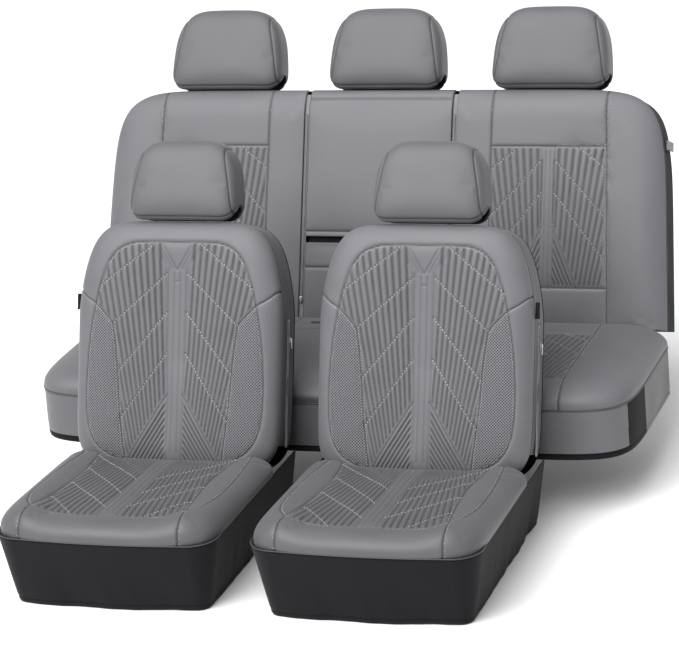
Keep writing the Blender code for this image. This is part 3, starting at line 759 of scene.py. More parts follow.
def make_front_back():
    lines_x, lines_y = rim_lines(100, BACK_FLAT, 40), rim_lines(114, BACK_FLAT, 42)
    x, y = np.meshgrid(both_ways(lines_x), both_ways(lines_y))
    past, (x, y) = lip_share(x, y)
    across, up = back_point(*squircle(x, y, BACK_SQUARENESS))
    dish = 0.014 * np.clip(1.0 - (x / 0.62) ** 2, 0.0, 1.0) * np.clip(1.0 - y ** 4, 0.0, 1.0)
    depth = dish + (BACK_ROLL - LIP) * roll(np.maximum(np.abs(x), np.abs(y)), BACK_FLAT) + LIP * past

    lower, upper = INSET[INSET[:, 1] < SHOULDER_END], INSET[INSET[:, 1] >= SHOULDER_END]
    shoulder = SHOULDER[SHOULDER[:, 0] < 0.2135]
    net = np.vstack([shoulder, INNER, lower[lower[:, 0] > 0.128][::-1]])
    wedge = np.array([*BACK_WEDGE, (0.0200, -0.0105)])
    ribbed = np.vstack([[(0.024, 0.470), (0.040, 0.536)], upper[upper[:, 0] > 0.040], shoulder,
                        INNER[INNER[:, 1] > -0.006], BACK_WEDGE[::-1], [(0.0235, 0.300)]])

    def wedge_ribs(p):
        away = (p - BACK_WEDGE[0]) @ wedge_normal(BACK_WEDGE)
        return (away + 0.10 * away ** 2 - 0.35 * np.clip(p[:, 1], 0, 1) * away) / WEDGE_PITCH

    zones = [(ribbed, lambda p: fan(p[:, 0], p[:, 1], RIB_FAN_FOOT, RIB_TURN) + 0.5, *RIB),
             (wedge, wedge_ribs, *WEDGE_RIB)]
    channels = [(SPINE, *SPINE_GROOVE), (np.array(BACK_WEDGE), *WEDGE_GROOVE),
                (curve([(0.0085, 0.012), (0.0085, 0.428), (0.0060, 0.4375), (0.0, 0.4400)]), *MIDDLE_GROOVE),
                (np.array([(0.0, 0.4680), (0.0360, 0.5290)]), 0.0013, 0.0018, 0.40),
                (np.array([(0.0, 0.5300), (0.0370, 0.5300)]), 0.0010, 0.0016, 0.25),
                (np.array([(0.0120, 0.4700), (0.0480, 0.5330)]), 0.0009, 0.0016, 0.22)]
    return Panel("front back panel", on_front_back(stacked(across, depth, up)), stacked(across, up),
                 [INSET, SHOULDER, INNER], zones, BACK_LINES, channels, net, SPINE, 3.0, 0.007, 5)


# ---------------------------------------------------------------- front cushion cover
def cushion_point(x, y):
    bow = FRONT_BOW * x * x * (1.0 - y) / 2.0
    return x * CUSHION_WIDTH / 2, blend(0.0, CUSHION_DEPTH, (y + 1.0) / 2.0) + bow


FRONT_SEAM = curve([(0.0, 0.078), (0.080, 0.079), (0.150, 0.083), (0.197, 0.090)])
CUSHION_INNER = curve([(0.197, 0.090), (0.186, 0.150), (0.176, 0.240), (0.172, 0.340), (0.177, 0.425),
                       (0.184, 0.4845)])
CUSHION_OUTER = curve([(0.197, 0.090), (0.222, 0.130), (0.236, 0.200), (0.237, 0.290), (0.231, 0.390),
                       (0.220, 0.4845)])
ROLL_SEAM = np.array([(0.197, 0.090), (0.200, 0.040), (0.202, -0.004)])
CUSHION_LINES = [((0.182, 0.176), (0.090, 0.080)), ((0.175, 0.282), (0.027, 0.140)),
                 ((0.172, 0.385), (0.026, 0.240)), ((0.183, 0.480), (0.025, 0.335))]
CUSHION_WEDGE = ((0.0215, 0.372), (0.125, 0.4840))
CUSHION_FAN_FOOT = 0.980


def make_front_cushion():
    front, back = rim_lines(96, CUSHION_FLAT, 34), np.linspace(-1.0, 0.0, 112)[:-1]
    x, forward = np.meshgrid(both_ways(rim_lines(104, CUSHION_FLAT, 36)), np.concatenate([back, front])[::-1])
    past, (x, forward) = lip_share(x, np.where(forward < 0, forward * 0.9999, forward))
    y = -forward
    across, depth = cushion_point(*squircle(x, y, np.where(y < 0, CUSHION_SQUARENESS, 40.0)))
    top = blend(CUSHION_TOP, CUSHION_REAR_TOP, (y + 1.0) / 2.0) + BOLSTER_RISE * bell(np.abs(x) - 0.80, 0.22)
    drop = (top - SEAM_HEIGHT - CUSHION_LIP) * roll(np.maximum(np.abs(x), -y), CUSHION_FLAT)

    net = np.vstack([CUSHION_OUTER, CUSHION_INNER[::-1]])
    spine = np.array([(0.024, 0.084), (0.0235, 0.250), (0.0215, 0.372), (0.020, 0.4845)])
    ribbed = np.vstack([FRONT_SEAM[FRONT_SEAM[:, 0] > 0.024], CUSHION_INNER, CUSHION_WEDGE[::-1], spine[:1]])
    wedge = np.array([*CUSHION_WEDGE, (0.020, 0.4845)])
    zones = [(ribbed, lambda p: fan(p[:, 0], CUSHION_FAN_FOOT - p[:, 1], 0.0, RIB_TURN) + 0.5, *RIB),
             (wedge, lambda p: (p - CUSHION_WEDGE[0]) @ -wedge_normal(CUSHION_WEDGE) / WEDGE_PITCH, *WEDGE_RIB)]
    channels = [(spine, *SPINE_GROOVE), (np.array(CUSHION_WEDGE), *WEDGE_GROOVE),
                (np.array([(0.0085, 0.105), (0.0085, 0.470)]), *MIDDLE_GROOVE)]
    points = stacked(across, depth, top - drop - CUSHION_LIP * past) - DATUM
    return Panel("front cushion panel", points, stacked(across, depth),
                 [FRONT_SEAM, CUSHION_INNER, CUSHION_OUTER, ROLL_SEAM], zones, CUSHION_LINES, channels, net,
                 spine, 3.0, 0.007, 5)


front_back, front_cushion = make_front_back(), make_front_cushion()
back_surface, cushion_surface = front_back.surface(2), front_cushion.surface(2)


# ---------------------------------------------------------------- strips round the front seats
def ripple(a, b, scale, seed):
    """Slow, uneven waves over a surface, about -1 to 1."""
    waves = np.random.default_rng(seed)
    total = 0.0
    for _ in range(5):
        angle, phase = waves.uniform(0, 2 * math.pi, 2)
        rate = waves.uniform(0.6, 1.7) * 2 * math.pi / scale
        total = total + np.sin(rate * (a * math.cos(angle) + b * math.sin(angle)) + phase)
    return total / 3.0


def strip(name, points, plan, seams, thickness, wave=0.0, wave_scale=0.18, seed=1, stride=5, depth=1.0):
    """A plain panel, with seams along the given lines of its plan, slow waves, and painted shade along its seams
    and edges: its mesh and its points.
    """
    rows, columns = plan.shape[:2]
    gap = np.full((rows, columns), 9.0)
    for line in seams:
        gap = np.minimum(gap, distance(plan.reshape(-1, 2), np.array(line)).reshape(rows, columns))
    r, c = np.meshgrid(np.linspace(0, 1, rows), np.linspace(0, 1, columns), indexing="ij")
    free = np.sin(math.pi * r) * np.clip(np.sin(math.pi * c) * 4, 0, 1)
    to_row_end, to_column_end = np.minimum(r, 1 - r), np.minimum(c, 1 - c)
    waves = wave * ripple(plan[..., 0], plan[..., 1], wave_scale, seed) * free
    height = -0.0018 * depth * bell(gap, 0.0018) + waves - 0.0012 * bell(to_row_end, 1.0 / rows)
    # Painted shade along the seams and at the strip's edges, where it meets its neighbours.
    edge = np.maximum(bell(to_row_end * (rows - 1), 1.2), bell(to_column_end * (columns - 1), 1.2))
    dark = np.maximum(0.6 * bell(gap, 0.0012), 0.45 * edge)
    final = raised(points, height)
    return panel_mesh(name, final, plan, thickness, {"dark": dark, "mesh": np.zeros_like(dark)}, stride), final


def wall_piece(label, first, last):
    """A strip round the backrest's rim between two angles: its mesh and its length."""
    angle, t = np.meshgrid(np.linspace(first, last, 190), np.linspace(0.0, 1.0, 36))
    across, up = back_rim(angle)
    depth = blend(BACK_DEPTH - CLOTH - GAP, BACK_ROLL + GAP, t)
    local = stacked(across, depth, up)
    plan = stacked(lengths(local), depth)

    def height_line(low, high, level):
        row = local[0]
        keep = (row[:, 2] >= low) & (row[:, 2] <= high)
        return stacked(plan[0, keep, 0], np.full(keep.sum(), level))

    seams = [height_line(-0.02, 0.37, 0.063)] if label != "top_band" else []
    if label == "right_wall":
        seams += [height_line(SIDE_ZIP[0] - 0.01, SIDE_ZIP[1] + 0.01, SIDE_ZIP_DEPTH + away)
                  for away in (-TAPE_HALF, TAPE_HALF)]
    mesh, final = strip(f"front back {label}", on_front_back(local), plan, seams, CLOTH, wave=0.0012,
                        seed=len(label))
    return mesh, float(lengths(final)[0, -1])


def back_rear_panel():
    s, t = np.meshgrid(np.linspace(-1, 1, 90), np.linspace(-1, 1, 96))
    across, up = back_point(*squircle(-s, t, BACK_SQUARENESS))
    return strip("front back rear", on_front_back(stacked(across, BACK_DEPTH, up)), stacked(across, up),
                 [[(-0.3, 0.30), (0.3, 0.30)]], 0.0015, wave=0.0022, wave_scale=0.22, seed=5, stride=1)[0]


def skirt_front_grid():
    """Round the front and both corners, wider at the top than at the foot."""
    half, straight = CUSHION_WIDTH / 2, CUSHION_WIDTH / 2 - CORNER_RADIUS
    s, t = np.meshgrid(np.linspace(0.0, 1.0, 301), np.linspace(0.0, 1.0, 61))
    share, side, lean = np.abs(2 * s - 1), np.sign(2 * s - 1 + 1e-9), SKIRT_TAPER * (1.0 - t)
    corner_back = FRONT_BOW * (straight / half) ** 2 + CORNER_RADIUS
    across = straight * share / 0.5
    turn = math.radians(90.0) * (share - 0.5) / 0.4
    reach = CORNER_RADIUS - lean
    x = np.where(share < 0.5, across, np.where(share < 0.9, straight + reach * np.sin(turn), half - lean))
    y = np.where(share < 0.5, FRONT_BOW * (across / half) ** 2 + lean,
                 np.where(share < 0.9, corner_back - reach * np.cos(turn),
                          blend(corner_back, SKIRT_SPLIT, (share - 0.9) / 0.1)))
    return stacked(side * x, y, (SEAM_HEIGHT - GAP) * t)


def skirt_side_grid(sign):
    s, t = np.meshgrid(np.linspace(0.0, 1.0, 241), np.linspace(0.0, 1.0, 61))
    back = blend(SKIRT_SPLIT + GAP, SKIRT_DEPTH, s if sign > 0 else 1.0 - s)
    return stacked(sign * (CUSHION_WIDTH / 2 - SKIRT_TAPER * (1.0 - t)), back, (SEAM_HEIGHT - GAP) * t)


def skirt(name, local, seed):
    """A hanging strip with two hem lines, whose waves grow towards its foot."""
    plan = stacked(lengths(local), local[..., 2])
    loose = step(1.0 - local[..., 2] / SEAM_HEIGHT, 0.1, 1.0)
    shift = 0.0030 * loose * ripple(plan[..., 0], plan[..., 1] * 0.35, 0.24, seed)
    shift = shift + 0.0012 * loose * ripple(plan[..., 0], plan[..., 1] * 0.35, 0.09, seed + 3)
    points = (local - DATUM) + shift[..., None] * grid_normals(local)
    hems = [[(-1.0, level), (2.0, level)] for level in (0.014, 0.012)]
    return strip(name, points, plan, hems, 0.0018, stride=1, depth=0.6)[0]


# ---------------------------------------------------------------- headrest covers
def even(values, count):
    """Resample curves at even steps of the length of the first pair."""
    total = np.concatenate([[0.0], np.cumsum(np.hypot(*np.diff(values, axis=1)))])
    where = np.linspace(0.0, total[-1], count)
    return np.array([np.interp(where, total, row) for row in values])


def make_headrest(name, size, place, base):
    """A hood of a front-to-back panel over two side gussets, hemmed at its open foot."""
    a, b, c = size[0] / 2, size[1] / 2, size[2] / 2
    rows, power, side_power, radius = 211, 2 / 4.0, 2 / 4.8, 0.042
    angle = np.linspace(0.26, 2 * math.pi - 0.26, 1500)
    profile = even(np.array([-np.sign(np.sin(angle)) * np.abs(np.sin(angle)) ** power * b,
                             -np.sign(np.cos(angle)) * np.abs(np.cos(angle)) ** power * c]), rows)
    turn = np.linspace(0.0, math.pi / 2, 1500)
    side = even(np.array([a * np.sin(turn) ** side_power, b * np.cos(turn) ** side_power]), 112)
    across = np.concatenate([-side[0][:0:-1], side[0]])
    x, k = across[None, :], np.maximum(np.concatenate([side[1][:0:-1], side[1]])[None, :] / b, 0.004)
    y, z = profile[0][:, None] * k, -c + (profile[1][:, None] + c) * k
    past = np.clip((np.abs(x) - (a - radius)) / radius, 0.0, 1.0)
    foot = radius * (1.0 - np.sqrt(1.0 - past ** 2))
    z = -c + foot + (z + c) * (2 * c - foot) / (2 * c)
    rise = (z + c) / (2 * c)
    x = x * (1.0 - 0.13 * rise ** 2)
    y = y * blend(1.0, 0.80, rise) + 0.010 * rise
    points = place(stacked(x, y + b, z + base + c))
    gap = np.abs(np.abs(across)[None, :] / a - blend(0.955, 0.815, rise)) * a * 0.9
    hem = np.minimum(np.arange(rows), np.arange(rows)[::-1]) * (size[0] / rows) * 1.2
    gap = np.minimum(gap, np.abs(hem[:, None] - 0.012))
    points = raised(puffed(points, gap, 2.2, 0.004, reach=0.003),
                    -0.0020 * bell(gap, 0.0018) - 0.0008 * bell(gap, 0.005))
    middle = points[:, points.shape[1] // 2]
    length = np.cumsum(np.linalg.norm(np.diff(middle, axis=0, prepend=middle[:1]), axis=-1))
    # Painted shade along the gusset seams and the hem.
    marks = {"dark": 0.88 * bell(gap, 0.0013), "mesh": np.zeros_like(gap)}
    return panel_mesh(name, points, stacked(x, length[:, None]), 0.004, marks)


# ---------------------------------------------------------------- rear backrest cover
def rear_half_width(height):
    return blend(REAR_HALF_WIDTH, REAR_TOP_HALF_WIDTH, (height - REAR_BOTTOM) / (REAR_HEIGHT - REAR_BOTTOM))


def rear_point(x, y):
    up = blend(REAR_BOTTOM, REAR_HEIGHT, y)
    return blend(CENTRE_HALF_WIDTH + ZIP_CHANNEL, rear_half_width(up), x), up


def rear_rim(degrees):
    return rear_point(*squircle(*rim_direction(degrees), CORNER_SQUARENESS))


RIB_CENTRE, RIB_INNER, RIB_OUTER = 0.4640, 0.3085, 0.6195
REAR_LINES = [((0.081, 0.438), (0.150, 0.385)), ((0.020, 0.403), (0.150, 0.262)),
              ((0.016, 0.323), (0.150, 0.150)), ((0.016, 0.405), (0.016, 0.240))]
REAR_WEDGE = ((0.014, 0.233), (0.082, 0.074))
REAR_FAN_FOOT, BENCH_FAN_FOOT = -0.50, -0.46
REAR_SEAMS = [np.array(line) for line in (
    ((RIB_INNER, REAR_BOTTOM), (RIB_INNER, REAR_HEIGHT)), ((0.6300, REAR_BOTTOM), (0.6120, REAR_HEIGHT)),
    ((RIB_INNER, 0.442), (RIB_OUTER, 0.442)), ((RIB_INNER, 0.074), (RIB_OUTER + 0.006, 0.074)))]


def chevrons(low, high, wedge, lines, fan_foot):
    """Ribbed zones, dashed lines and grooves either side of an insert's spine."""
    zones, dashes, channels = [], [], []
    half = (RIB_OUTER - RIB_INNER) / 2 - 0.002

    def spread_ribs(p):
        return fan(np.abs(p[:, 0] - RIB_CENTRE), p[:, 1], fan_foot, REAR_RIB_TURN) + 0.5

    def wedge_ribs(p):
        away = stacked(np.abs(p[:, 0] - RIB_CENTRE), p[:, 1]) - wedge[0]
        return (away @ wedge_normal(wedge)) / REAR_WEDGE_PITCH

    for side in (-1, 1):
        def placed(line):
            return np.array([(RIB_CENTRE + side * u, v) for u, v in line])

        ribbed = placed([(0.018, high), (half, high), (half, low), wedge[1], wedge[0], (0.018, 0.30)])
        zones += [(ribbed, spread_ribs, *RIB), (placed([*wedge, (0.012, low)]), wedge_ribs, *REAR_WEDGE_RIB)]
        dashes += [placed(line) for line in lines]
        channels += [(placed([(0.018, low), (0.018, high)]), 0.0012, 0.0020, 0.30),
                     (placed([(0.0065, low), (0.0065, high)]), 0.0010, 0.0016, 0.26),
                     (placed(wedge), *WEDGE_GROOVE)]
    return zones, dashes, channels


def make_rear_section():
    x, y = np.meshgrid(rim_lines(196, REAR_FLAT, 26), rim_lines(212, REAR_FLAT, 26))
    past, (x, y) = lip_share(x, y)
    across, up = rear_point(*squircle(x, y, CORNER_SQUARENESS))
    depth = (REAR_ROLL - LIP) * roll(np.maximum(x, y), REAR_FLAT) + LIP * past
    zones, dashes, channels = chevrons(0.076, 0.440, REAR_WEDGE, REAR_LINES, REAR_FAN_FOOT)
    points = on_rear_back(stacked(across, depth, up))
    return Panel("rear section right", points, stacked(across, up), REAR_SEAMS, zones, dashes, channels), dashes


def centre_grid(low, high, rolled):
    """The centre of the backrest between the two zips, and its plan."""
    x, v = np.meshgrid(np.linspace(-CENTRE_HALF_WIDTH, CENTRE_HALF_WIDTH, 145),
                       np.linspace(low, high, int((high - low) / 0.0028)))
    depth = np.zeros_like(x)
    if rolled:
        depth = (REAR_ROLL - LIP) * roll((v - REAR_BOTTOM) / (REAR_HEIGHT - REAR_BOTTOM), REAR_FLAT)
        x, v = (np.vstack([grid, np.repeat(grid[-1:], 4, 0)]) for grid in (x, v))
        depth = np.vstack([depth, depth[-1:] + LIP * np.linspace(0.25, 1.0, 4)[:, None]])
    return on_rear_back(stacked(x, depth, v)), stacked(x, v)


def across_centre(*heights):
    return [np.array([(-0.2, height), (0.2, height)]) for height in heights]


def rear_strip(name, first, last, columns, sign):
    """A strip round the backrest's rim, from its rear edge to its front one: its mesh and its length."""
    angle, t = np.meshgrid(np.linspace(first, last, columns), np.linspace(0.0, 1.0, 30))
    across, up = rear_rim(np.where(angle > 90.0, 180.0 - angle, angle))
    depth = blend(REAR_DEPTH - CLOTH - GAP, REAR_ROLL + GAP, t)
    local = stacked(np.where(angle > 90.0, -1.0, 1.0) * sign * across, depth, up)
    if sign < 0:
        local, depth = local[:, ::-1], depth[:, ::-1]
    points = on_rear_back(local)
    mesh = strip(name, points, stacked(lengths(local), depth), [], CLOTH, wave=0.0015, seed=3)[0]
    return mesh, float(lengths(points)[0, -1])


def rear_back_cloth():
    s, t = np.meshgrid(np.linspace(0.0, 1.0, 181), np.linspace(0.0, 1.0, 81))
    x, y = squircle(np.abs(1 - 2 * s), t, CORNER_SQUARENESS)
    up = blend(REAR_BOTTOM, REAR_HEIGHT, y)
    across = np.where(s < 0.5, 1.0, -1.0) * x * rear_half_width(up)
    return strip("rear back cloth", on_rear_back(stacked(across, REAR_DEPTH, up)), stacked(across, up),
                 [[(0.0, -0.1), (0.0, 0.7)]], 0.0015, wave=0.0024, wave_scale=0.30, seed=11, stride=1)[0]


# ---------------------------------------------------------------- rear bench cover
def bench_point(x, y):
    return blend(CENTRE_HALF_WIDTH + GAP, BENCH_HALF_WIDTH, x), blend(BENCH_DEPTH, 0.0, y)


def bench_rim(degrees):
    return bench_point(*squircle(*rim_direction(degrees), CORNER_SQUARENESS))


def bench_place(across, back, up):
    return stacked(across, back + BENCH_FRONT, up) - DATUM


BENCH_SEAM = BENCH_TOP - BENCH_ROLL
BENCH_LINES = [((0.081, 0.398), (0.150, 0.350)), ((0.020, 0.372), (0.150, 0.250)),
               ((0.016, 0.290), (0.150, 0.150))]
BENCH_WEDGE = ((0.014, 0.215), (0.082, 0.082))
BENCH_SEAMS = [np.array(line) for line in (
    ((RIB_INNER, -0.1), (RIB_INNER, 0.6)), ((RIB_OUTER, -0.1), (RIB_OUTER, 0.6)),
    ((RIB_INNER, 0.080), (RIB_OUTER, 0.080)), ((RIB_INNER, 0.400), (RIB_OUTER, 0.400)))]


def make_bench_section():
    x, forward = np.meshgrid(rim_lines(180, CUSHION_FLAT, 34), rim_lines(150, CUSHION_FLAT, 36)[::-1])
    past, (x, y) = lip_share(x, forward)
    across, back = bench_point(*squircle(x, y, CORNER_SQUARENESS))
    drop = (BENCH_ROLL - LIP) * roll(np.maximum(x, y), CUSHION_FLAT) + LIP * past
    zones, dashes, channels = chevrons(0.082, 0.398, BENCH_WEDGE, BENCH_LINES, BENCH_FAN_FOOT)
    points = bench_place(across, back, BENCH_TOP - drop)
    return Panel("bench section right", points, stacked(across, back), BENCH_SEAMS, zones, dashes, channels,
                 cap=0.007), dashes


def bench_centre():
    x, forward = np.meshgrid(np.linspace(-CENTRE_HALF_WIDTH, CENTRE_HALF_WIDTH, 133),
                             rim_lines(120, CUSHION_FLAT, 30)[::-1])
    past, (y,) = lip_share(forward)
    back = blend(BENCH_DEPTH, 0.0, y)
    drop = (BENCH_ROLL - LIP) * roll(y, CUSHION_FLAT) + LIP * past
    return bench_place(x, back, BENCH_TOP - drop), stacked(x, back)


def boxing(name, first, last, columns, sign):
    """The boxing strip below the bench's rolled edge: its mesh and its length."""
    angle, t = np.meshgrid(np.linspace(first, last, columns), np.linspace(0.0, 1.0, 40))
    mirror = np.where(angle > 90.0, 1.0, -1.0) if sign == 0 else np.full_like(angle, sign)
    across, back = bench_rim(np.where(angle > 90.0, 180.0 - angle, angle))
    up = blend(BENCH_BOTTOM, BENCH_SEAM - GAP, t)
    points = bench_place(mirror * across, back, up)
    plan = stacked(lengths(points), up)
    if sign > 0:
        points, plan = points[:, ::-1], plan[:, ::-1]
    hem = [[(-1.0, BENCH_BOTTOM + 0.013), (3.0, BENCH_BOTTOM + 0.013)]]
    mesh = strip(name, points, plan, hem, CLOTH, wave=0.0024, wave_scale=0.26, seed=len(name))[0]
    return mesh, float(lengths(points)[0, -1])


rear_section, rear_dashes = make_rear_section()
flap = Panel("armrest flap", *centre_grid(FLAP_FOOT, REAR_HEIGHT, True), across_centre(0.568, 0.214))
band = Panel("centre band", *centre_grid(REAR_BOTTOM, FLAP_FOOT - FLAP_CLEARANCE, False), across_centre(0.118))
bench_section, bench_dashes = make_bench_section()
bench_middle = Panel("bench centre", *bench_centre(), across_centre(0.400))
rear_surface, bench_surface = rear_section.surface(3), bench_section.surface(3)


# ---------------------------------------------------------------- zips, straps, threads and piping
def mirrored_parts(parts):
    return [(v * (-1, 1, 1), np.asarray(f)[:, ::-1]) for v, f in parts]


def offset(line, amount):
    """A line moved sideways in its own plane."""
    line = np.asarray(line, float)
    ahead = np.gradient(line, axis=0)
    ahead /= np.maximum(np.linalg.norm(ahead, axis=1, keepdims=True), 1e-9)
    return line + amount * stacked(-ahead[:, 1], ahead[:, 0])


def rounded_block(centre, size):
    """A small block with soft ends: a squircle section swept along its longest side."""
    centre, half = np.asarray(centre, float), np.asarray(size, float) / 2
    angle = np.arange(12) * 2 * math.pi / 12
    c, s = np.cos(angle), np.sin(angle)
    ring = stacked(np.sign(c) * np.abs(c) ** 0.5, np.sign(s) * np.abs(s) ** 0.5)
    shares = ((-1.0, 0.55), (-0.94, 0.86), (-0.80, 1.0), (0.80, 1.0), (0.94, 0.86), (1.0, 0.55))
    rings = [stacked(ring[:, 0] * half[0] * k, ring[:, 1] * half[1] * k, half[2] * z) + centre
             for z, k in shares]
    ends = np.array([(0, k, k + 1, k + 2) for k in range(1, 10, 2)])
    top = ends + 12 * (len(shares) - 1)
    return np.vstack(rings), np.vstack([ring_faces(len(shares), 12)[:, REVERSED], ends[:, ::-1], top])


TOOTH, TOOTH_PITCH, SLIDER = (0.0019, 0.0009, 0.0036), 0.0026, (0.0085, 0.004, 0.014)
TAB, TAB_SWING_GAP, SIDE_SLIDER_UP = (0.026, 0.006, 0.0019), 0.0018, 0.300


def zip_teeth(low, high):
    """Two rows of interlocked teeth, across X and along Z, proud towards -Y."""
    parts = []
    for i, z in enumerate(np.arange(low + TOOTH_PITCH, high - TOOTH_PITCH, TOOTH_PITCH / 2)):
        v, f = rounded_block((0.0, 0.0, 0.0), TOOTH)
        parts.append((v[:, [2, 0, 1]] + ((1 if i % 2 else -1) * 0.0011, 0.0, z), f))
    return parts


def tape_grid(low, high, half, depth):
    x, z = np.meshgrid(np.linspace(-half, half, 13), np.linspace(low, high, int((high - low) / 0.004)))
    return stacked(x, depth + 0.0006 * (np.abs(x) / half) ** 2, z)


def slider_parts():
    """A slider's two plates, waist, and bridge for its tab: across, off the chain, along."""
    a, b, c = SLIDER
    parts = []
    for level in (-0.5, 0.18):
        v, f = rounded_block((0.0, 0.0, 0.0), (a, 0.0011, c))
        taper = 0.72 + 0.28 * np.clip(v[:, 2] / c + 0.5, 0, 1)
        parts.append((stacked(v[:, 0] * taper, v[:, 1] + (level + 0.28) * b * 0.5, v[:, 2]), f))
    parts.append(rounded_block((0.0, 0.0, c * 0.18), (a * 0.3, b * 0.45, c * 0.4)))
    bridge = [(0.0, -b * 0.06, c * 0.36), (0.0, -b * 0.28, c * 0.30), (0.0, -b * 0.28, -c * 0.02),
              (0.0, -b * 0.06, -c * 0.16)]
    parts.append(tube(curve(bridge, 6), a * 0.085, 6))
    return parts


def pull_parts(length, width, thickness):
    """A slider's tab: a flat rounded plate with a slot through it."""
    angle = 2 * math.pi * np.arange(40) / 40
    c, s = np.cos(angle), np.sin(angle)

    def loop(power_x, power_z, share_x, share_z):
        return stacked(np.copysign(np.abs(c) ** power_x, c) * width * share_x,
                       np.copysign(np.abs(s) ** power_z, s) * length * share_z)

    rings, half = [], thickness / 2
    outside = ((-half, 0.93), (-half * 0.55, 1.0), (half * 0.55, 1.0), (half, 0.93))
    slot = ((half, 1.08), (half * 0.55, 1.0), (-half * 0.55, 1.0), (-half, 1.08))
    for points, levels in ((loop(0.45, 0.6, 0.5, 0.5), outside), (loop(0.7, 0.5, 0.20, 0.33), slot)):
        rings += [stacked(points[:, 0] * scale, level, points[:, 1] * (scale * 0.2 + 0.8))
                  for level, scale in levels]
    return np.vstack(rings), ring_faces(len(rings), 40, closed=True)


def on_side_wall(v):
    """From a zip made across X and facing -Y to the front seat's side wall, facing +X."""
    return on_front_back(stacked(-v[..., 1], v[..., 0] + SIDE_ZIP_DEPTH, v[..., 2]))


def side_tag(sign):
    """A folded black label sewn in the side seam."""
    foot, high, half, turn = 0.365, 0.040, 0.00072, 0.09
    t = np.linspace(0.0, 1.0, 29)
    across = np.where(t < 0.5, t / 0.5, (1 - t) / 0.5) * 0.0108
    off = np.where(np.abs(t - 0.5) < turn, (t - 0.5) / turn * half, np.where(t < 0.5, -half, half))
    x, z = np.meshgrid(across, np.linspace(foot, foot + high, 24))
    y = off + 0.0004 * np.sin((z - foot) / high * math.pi * 2)
    local = stacked(sign * (BACK_HALF_WIDTH + GAP + x), BACK_ROLL + y, z)
    if sign < 0:
        local = local[:, ::-1]
    return panel_mesh("side tag", on_front_back(local), stacked(t * 0.023, z), 0.0003, stride=1)


def flat_strap(name, start, end, width, thickness, sag, wave, seed, side=(1.0, 0.0, 0.0), up=(0, 0, 1)):
    """A webbing strap from start to end: ribbed edges, slight wave and sag."""
    start, end, side, up = (np.asarray(a, float) for a in (start, end, side, up))
    length = np.linalg.norm(end - start)
    t, s = np.meshgrid(np.linspace(0.0, 1.0, max(int(length / 0.004), 20)), np.linspace(-0.5, 0.5, 15))
    lift = -sag * np.sin(math.pi * t) + wave * np.sin(math.pi * t) * ripple(t * length, s * width, 0.15, seed)
    edge = -0.0003 * (np.abs(s) > 0.42)
    points = start + (end - start) * t[..., None] + side * (s * width)[..., None]
    points = points + up * (lift + edge)[..., None]
    plan = stacked(t * length, s * width)
    if grid_normals(points).reshape(-1, 3).mean(0) @ up < 0:
        points, plan = points[::-1], plan[::-1]
    # Painted shade in lines where the ribbed edges step down.
    dark = 0.5 * (np.abs(np.abs(s) - 0.40) < 0.03)
    return panel_mesh(name, points, plan, thickness, {"dark": dark}, stride=1)


def tuck_flap():
    """The flap behind the cushion, from its seam down and back: its mesh and its length."""
    start = CUSHION_DEPTH + 0.0015
    path = curve([(start, 0.178), (start + 0.0015, 0.150), (start + 0.0085, 0.122), (start + 0.0285, 0.106),
                  (start + 0.0545, 0.098)], 12)
    run = np.concatenate([[0], np.cumsum(np.hypot(*np.diff(path, axis=0).T))])
    s, k = np.meshgrid(np.linspace(0.180, -0.180, 91), np.arange(len(path)))
    wave = 0.0014 * ripple(s, run[k], 0.12, 4) * np.sin(math.pi * np.clip(run[k] / run[-1], 0, 1))
    points = raised(stacked(s, path[k, 0], path[k, 1]) - DATUM, wave)
    return panel_mesh("tuck flap", points, stacked(s, run[k]), 0.0014, stride=1), float(run[-1])


def beside(line, *sides):
    """Lines beside a straight seam on the sides given, each as many points."""
    line = line[0] + (line[1] - line[0]) * np.linspace(0, 1, 60)[:, None]
    return [offset(line, side * SEAM_SIDE) for side in sides]


SEAM_THREAD = {"radius": 0.0005}
FRONT_THREAD = {"pitch": 0.0086, "length": 0.0050, "radius": 0.0008}
REAR_THREAD = {"pitch": 0.0092, "length": 0.0054, "radius": 0.0008}
SEAM_SIDE = 0.0038


def front_threads():
    """Stitches beside the seams and along the quilting of the front backrest and cushion."""
    back = [offset(INSET, -0.0042), offset(SHOULDER, 0.0038), offset(INNER, 0.0036), offset(INNER, -0.0036)]
    seat = [offset(CUSHION_OUTER, 0.0040), offset(CUSHION_INNER, 0.0036), offset(FRONT_SEAM, -0.0040),
            offset(ROLL_SEAM, 0.0036)]
    return [joined(name, [stitches(surface, both(seams), **SEAM_THREAD),
                          stitches(surface, both(lines), **FRONT_THREAD)])
            for name, surface, seams, lines in (("back stitches", back_surface, back, BACK_LINES),
                                                ("cushion stitches", cushion_surface, seat, CUSHION_LINES))]


def rear_threads():
    """Stitches on the right half of the rear row."""
    inner, outer, top, foot = REAR_SEAMS
    rear = beside(inner, 1, -1) + beside(outer, 1, -1) + beside(top, 1) + beside(foot, -1)
    inner, outer, front, back = BENCH_SEAMS
    bench = beside(inner, 1, -1) + beside(outer, 1, -1) + beside(front, -1) + beside(back, 1)
    bench = [line[(line[:, 1] > -0.001) & (line[:, 1] < BENCH_DEPTH)] for line in bench]
    return [stitches(rear_surface, rear, **SEAM_THREAD),
            stitches(rear_surface, rear_dashes[0:3] + rear_dashes[4:7], **REAR_THREAD),
            stitches(bench_surface, bench, **SEAM_THREAD), stitches(bench_surface, bench_dashes, **REAR_THREAD)]


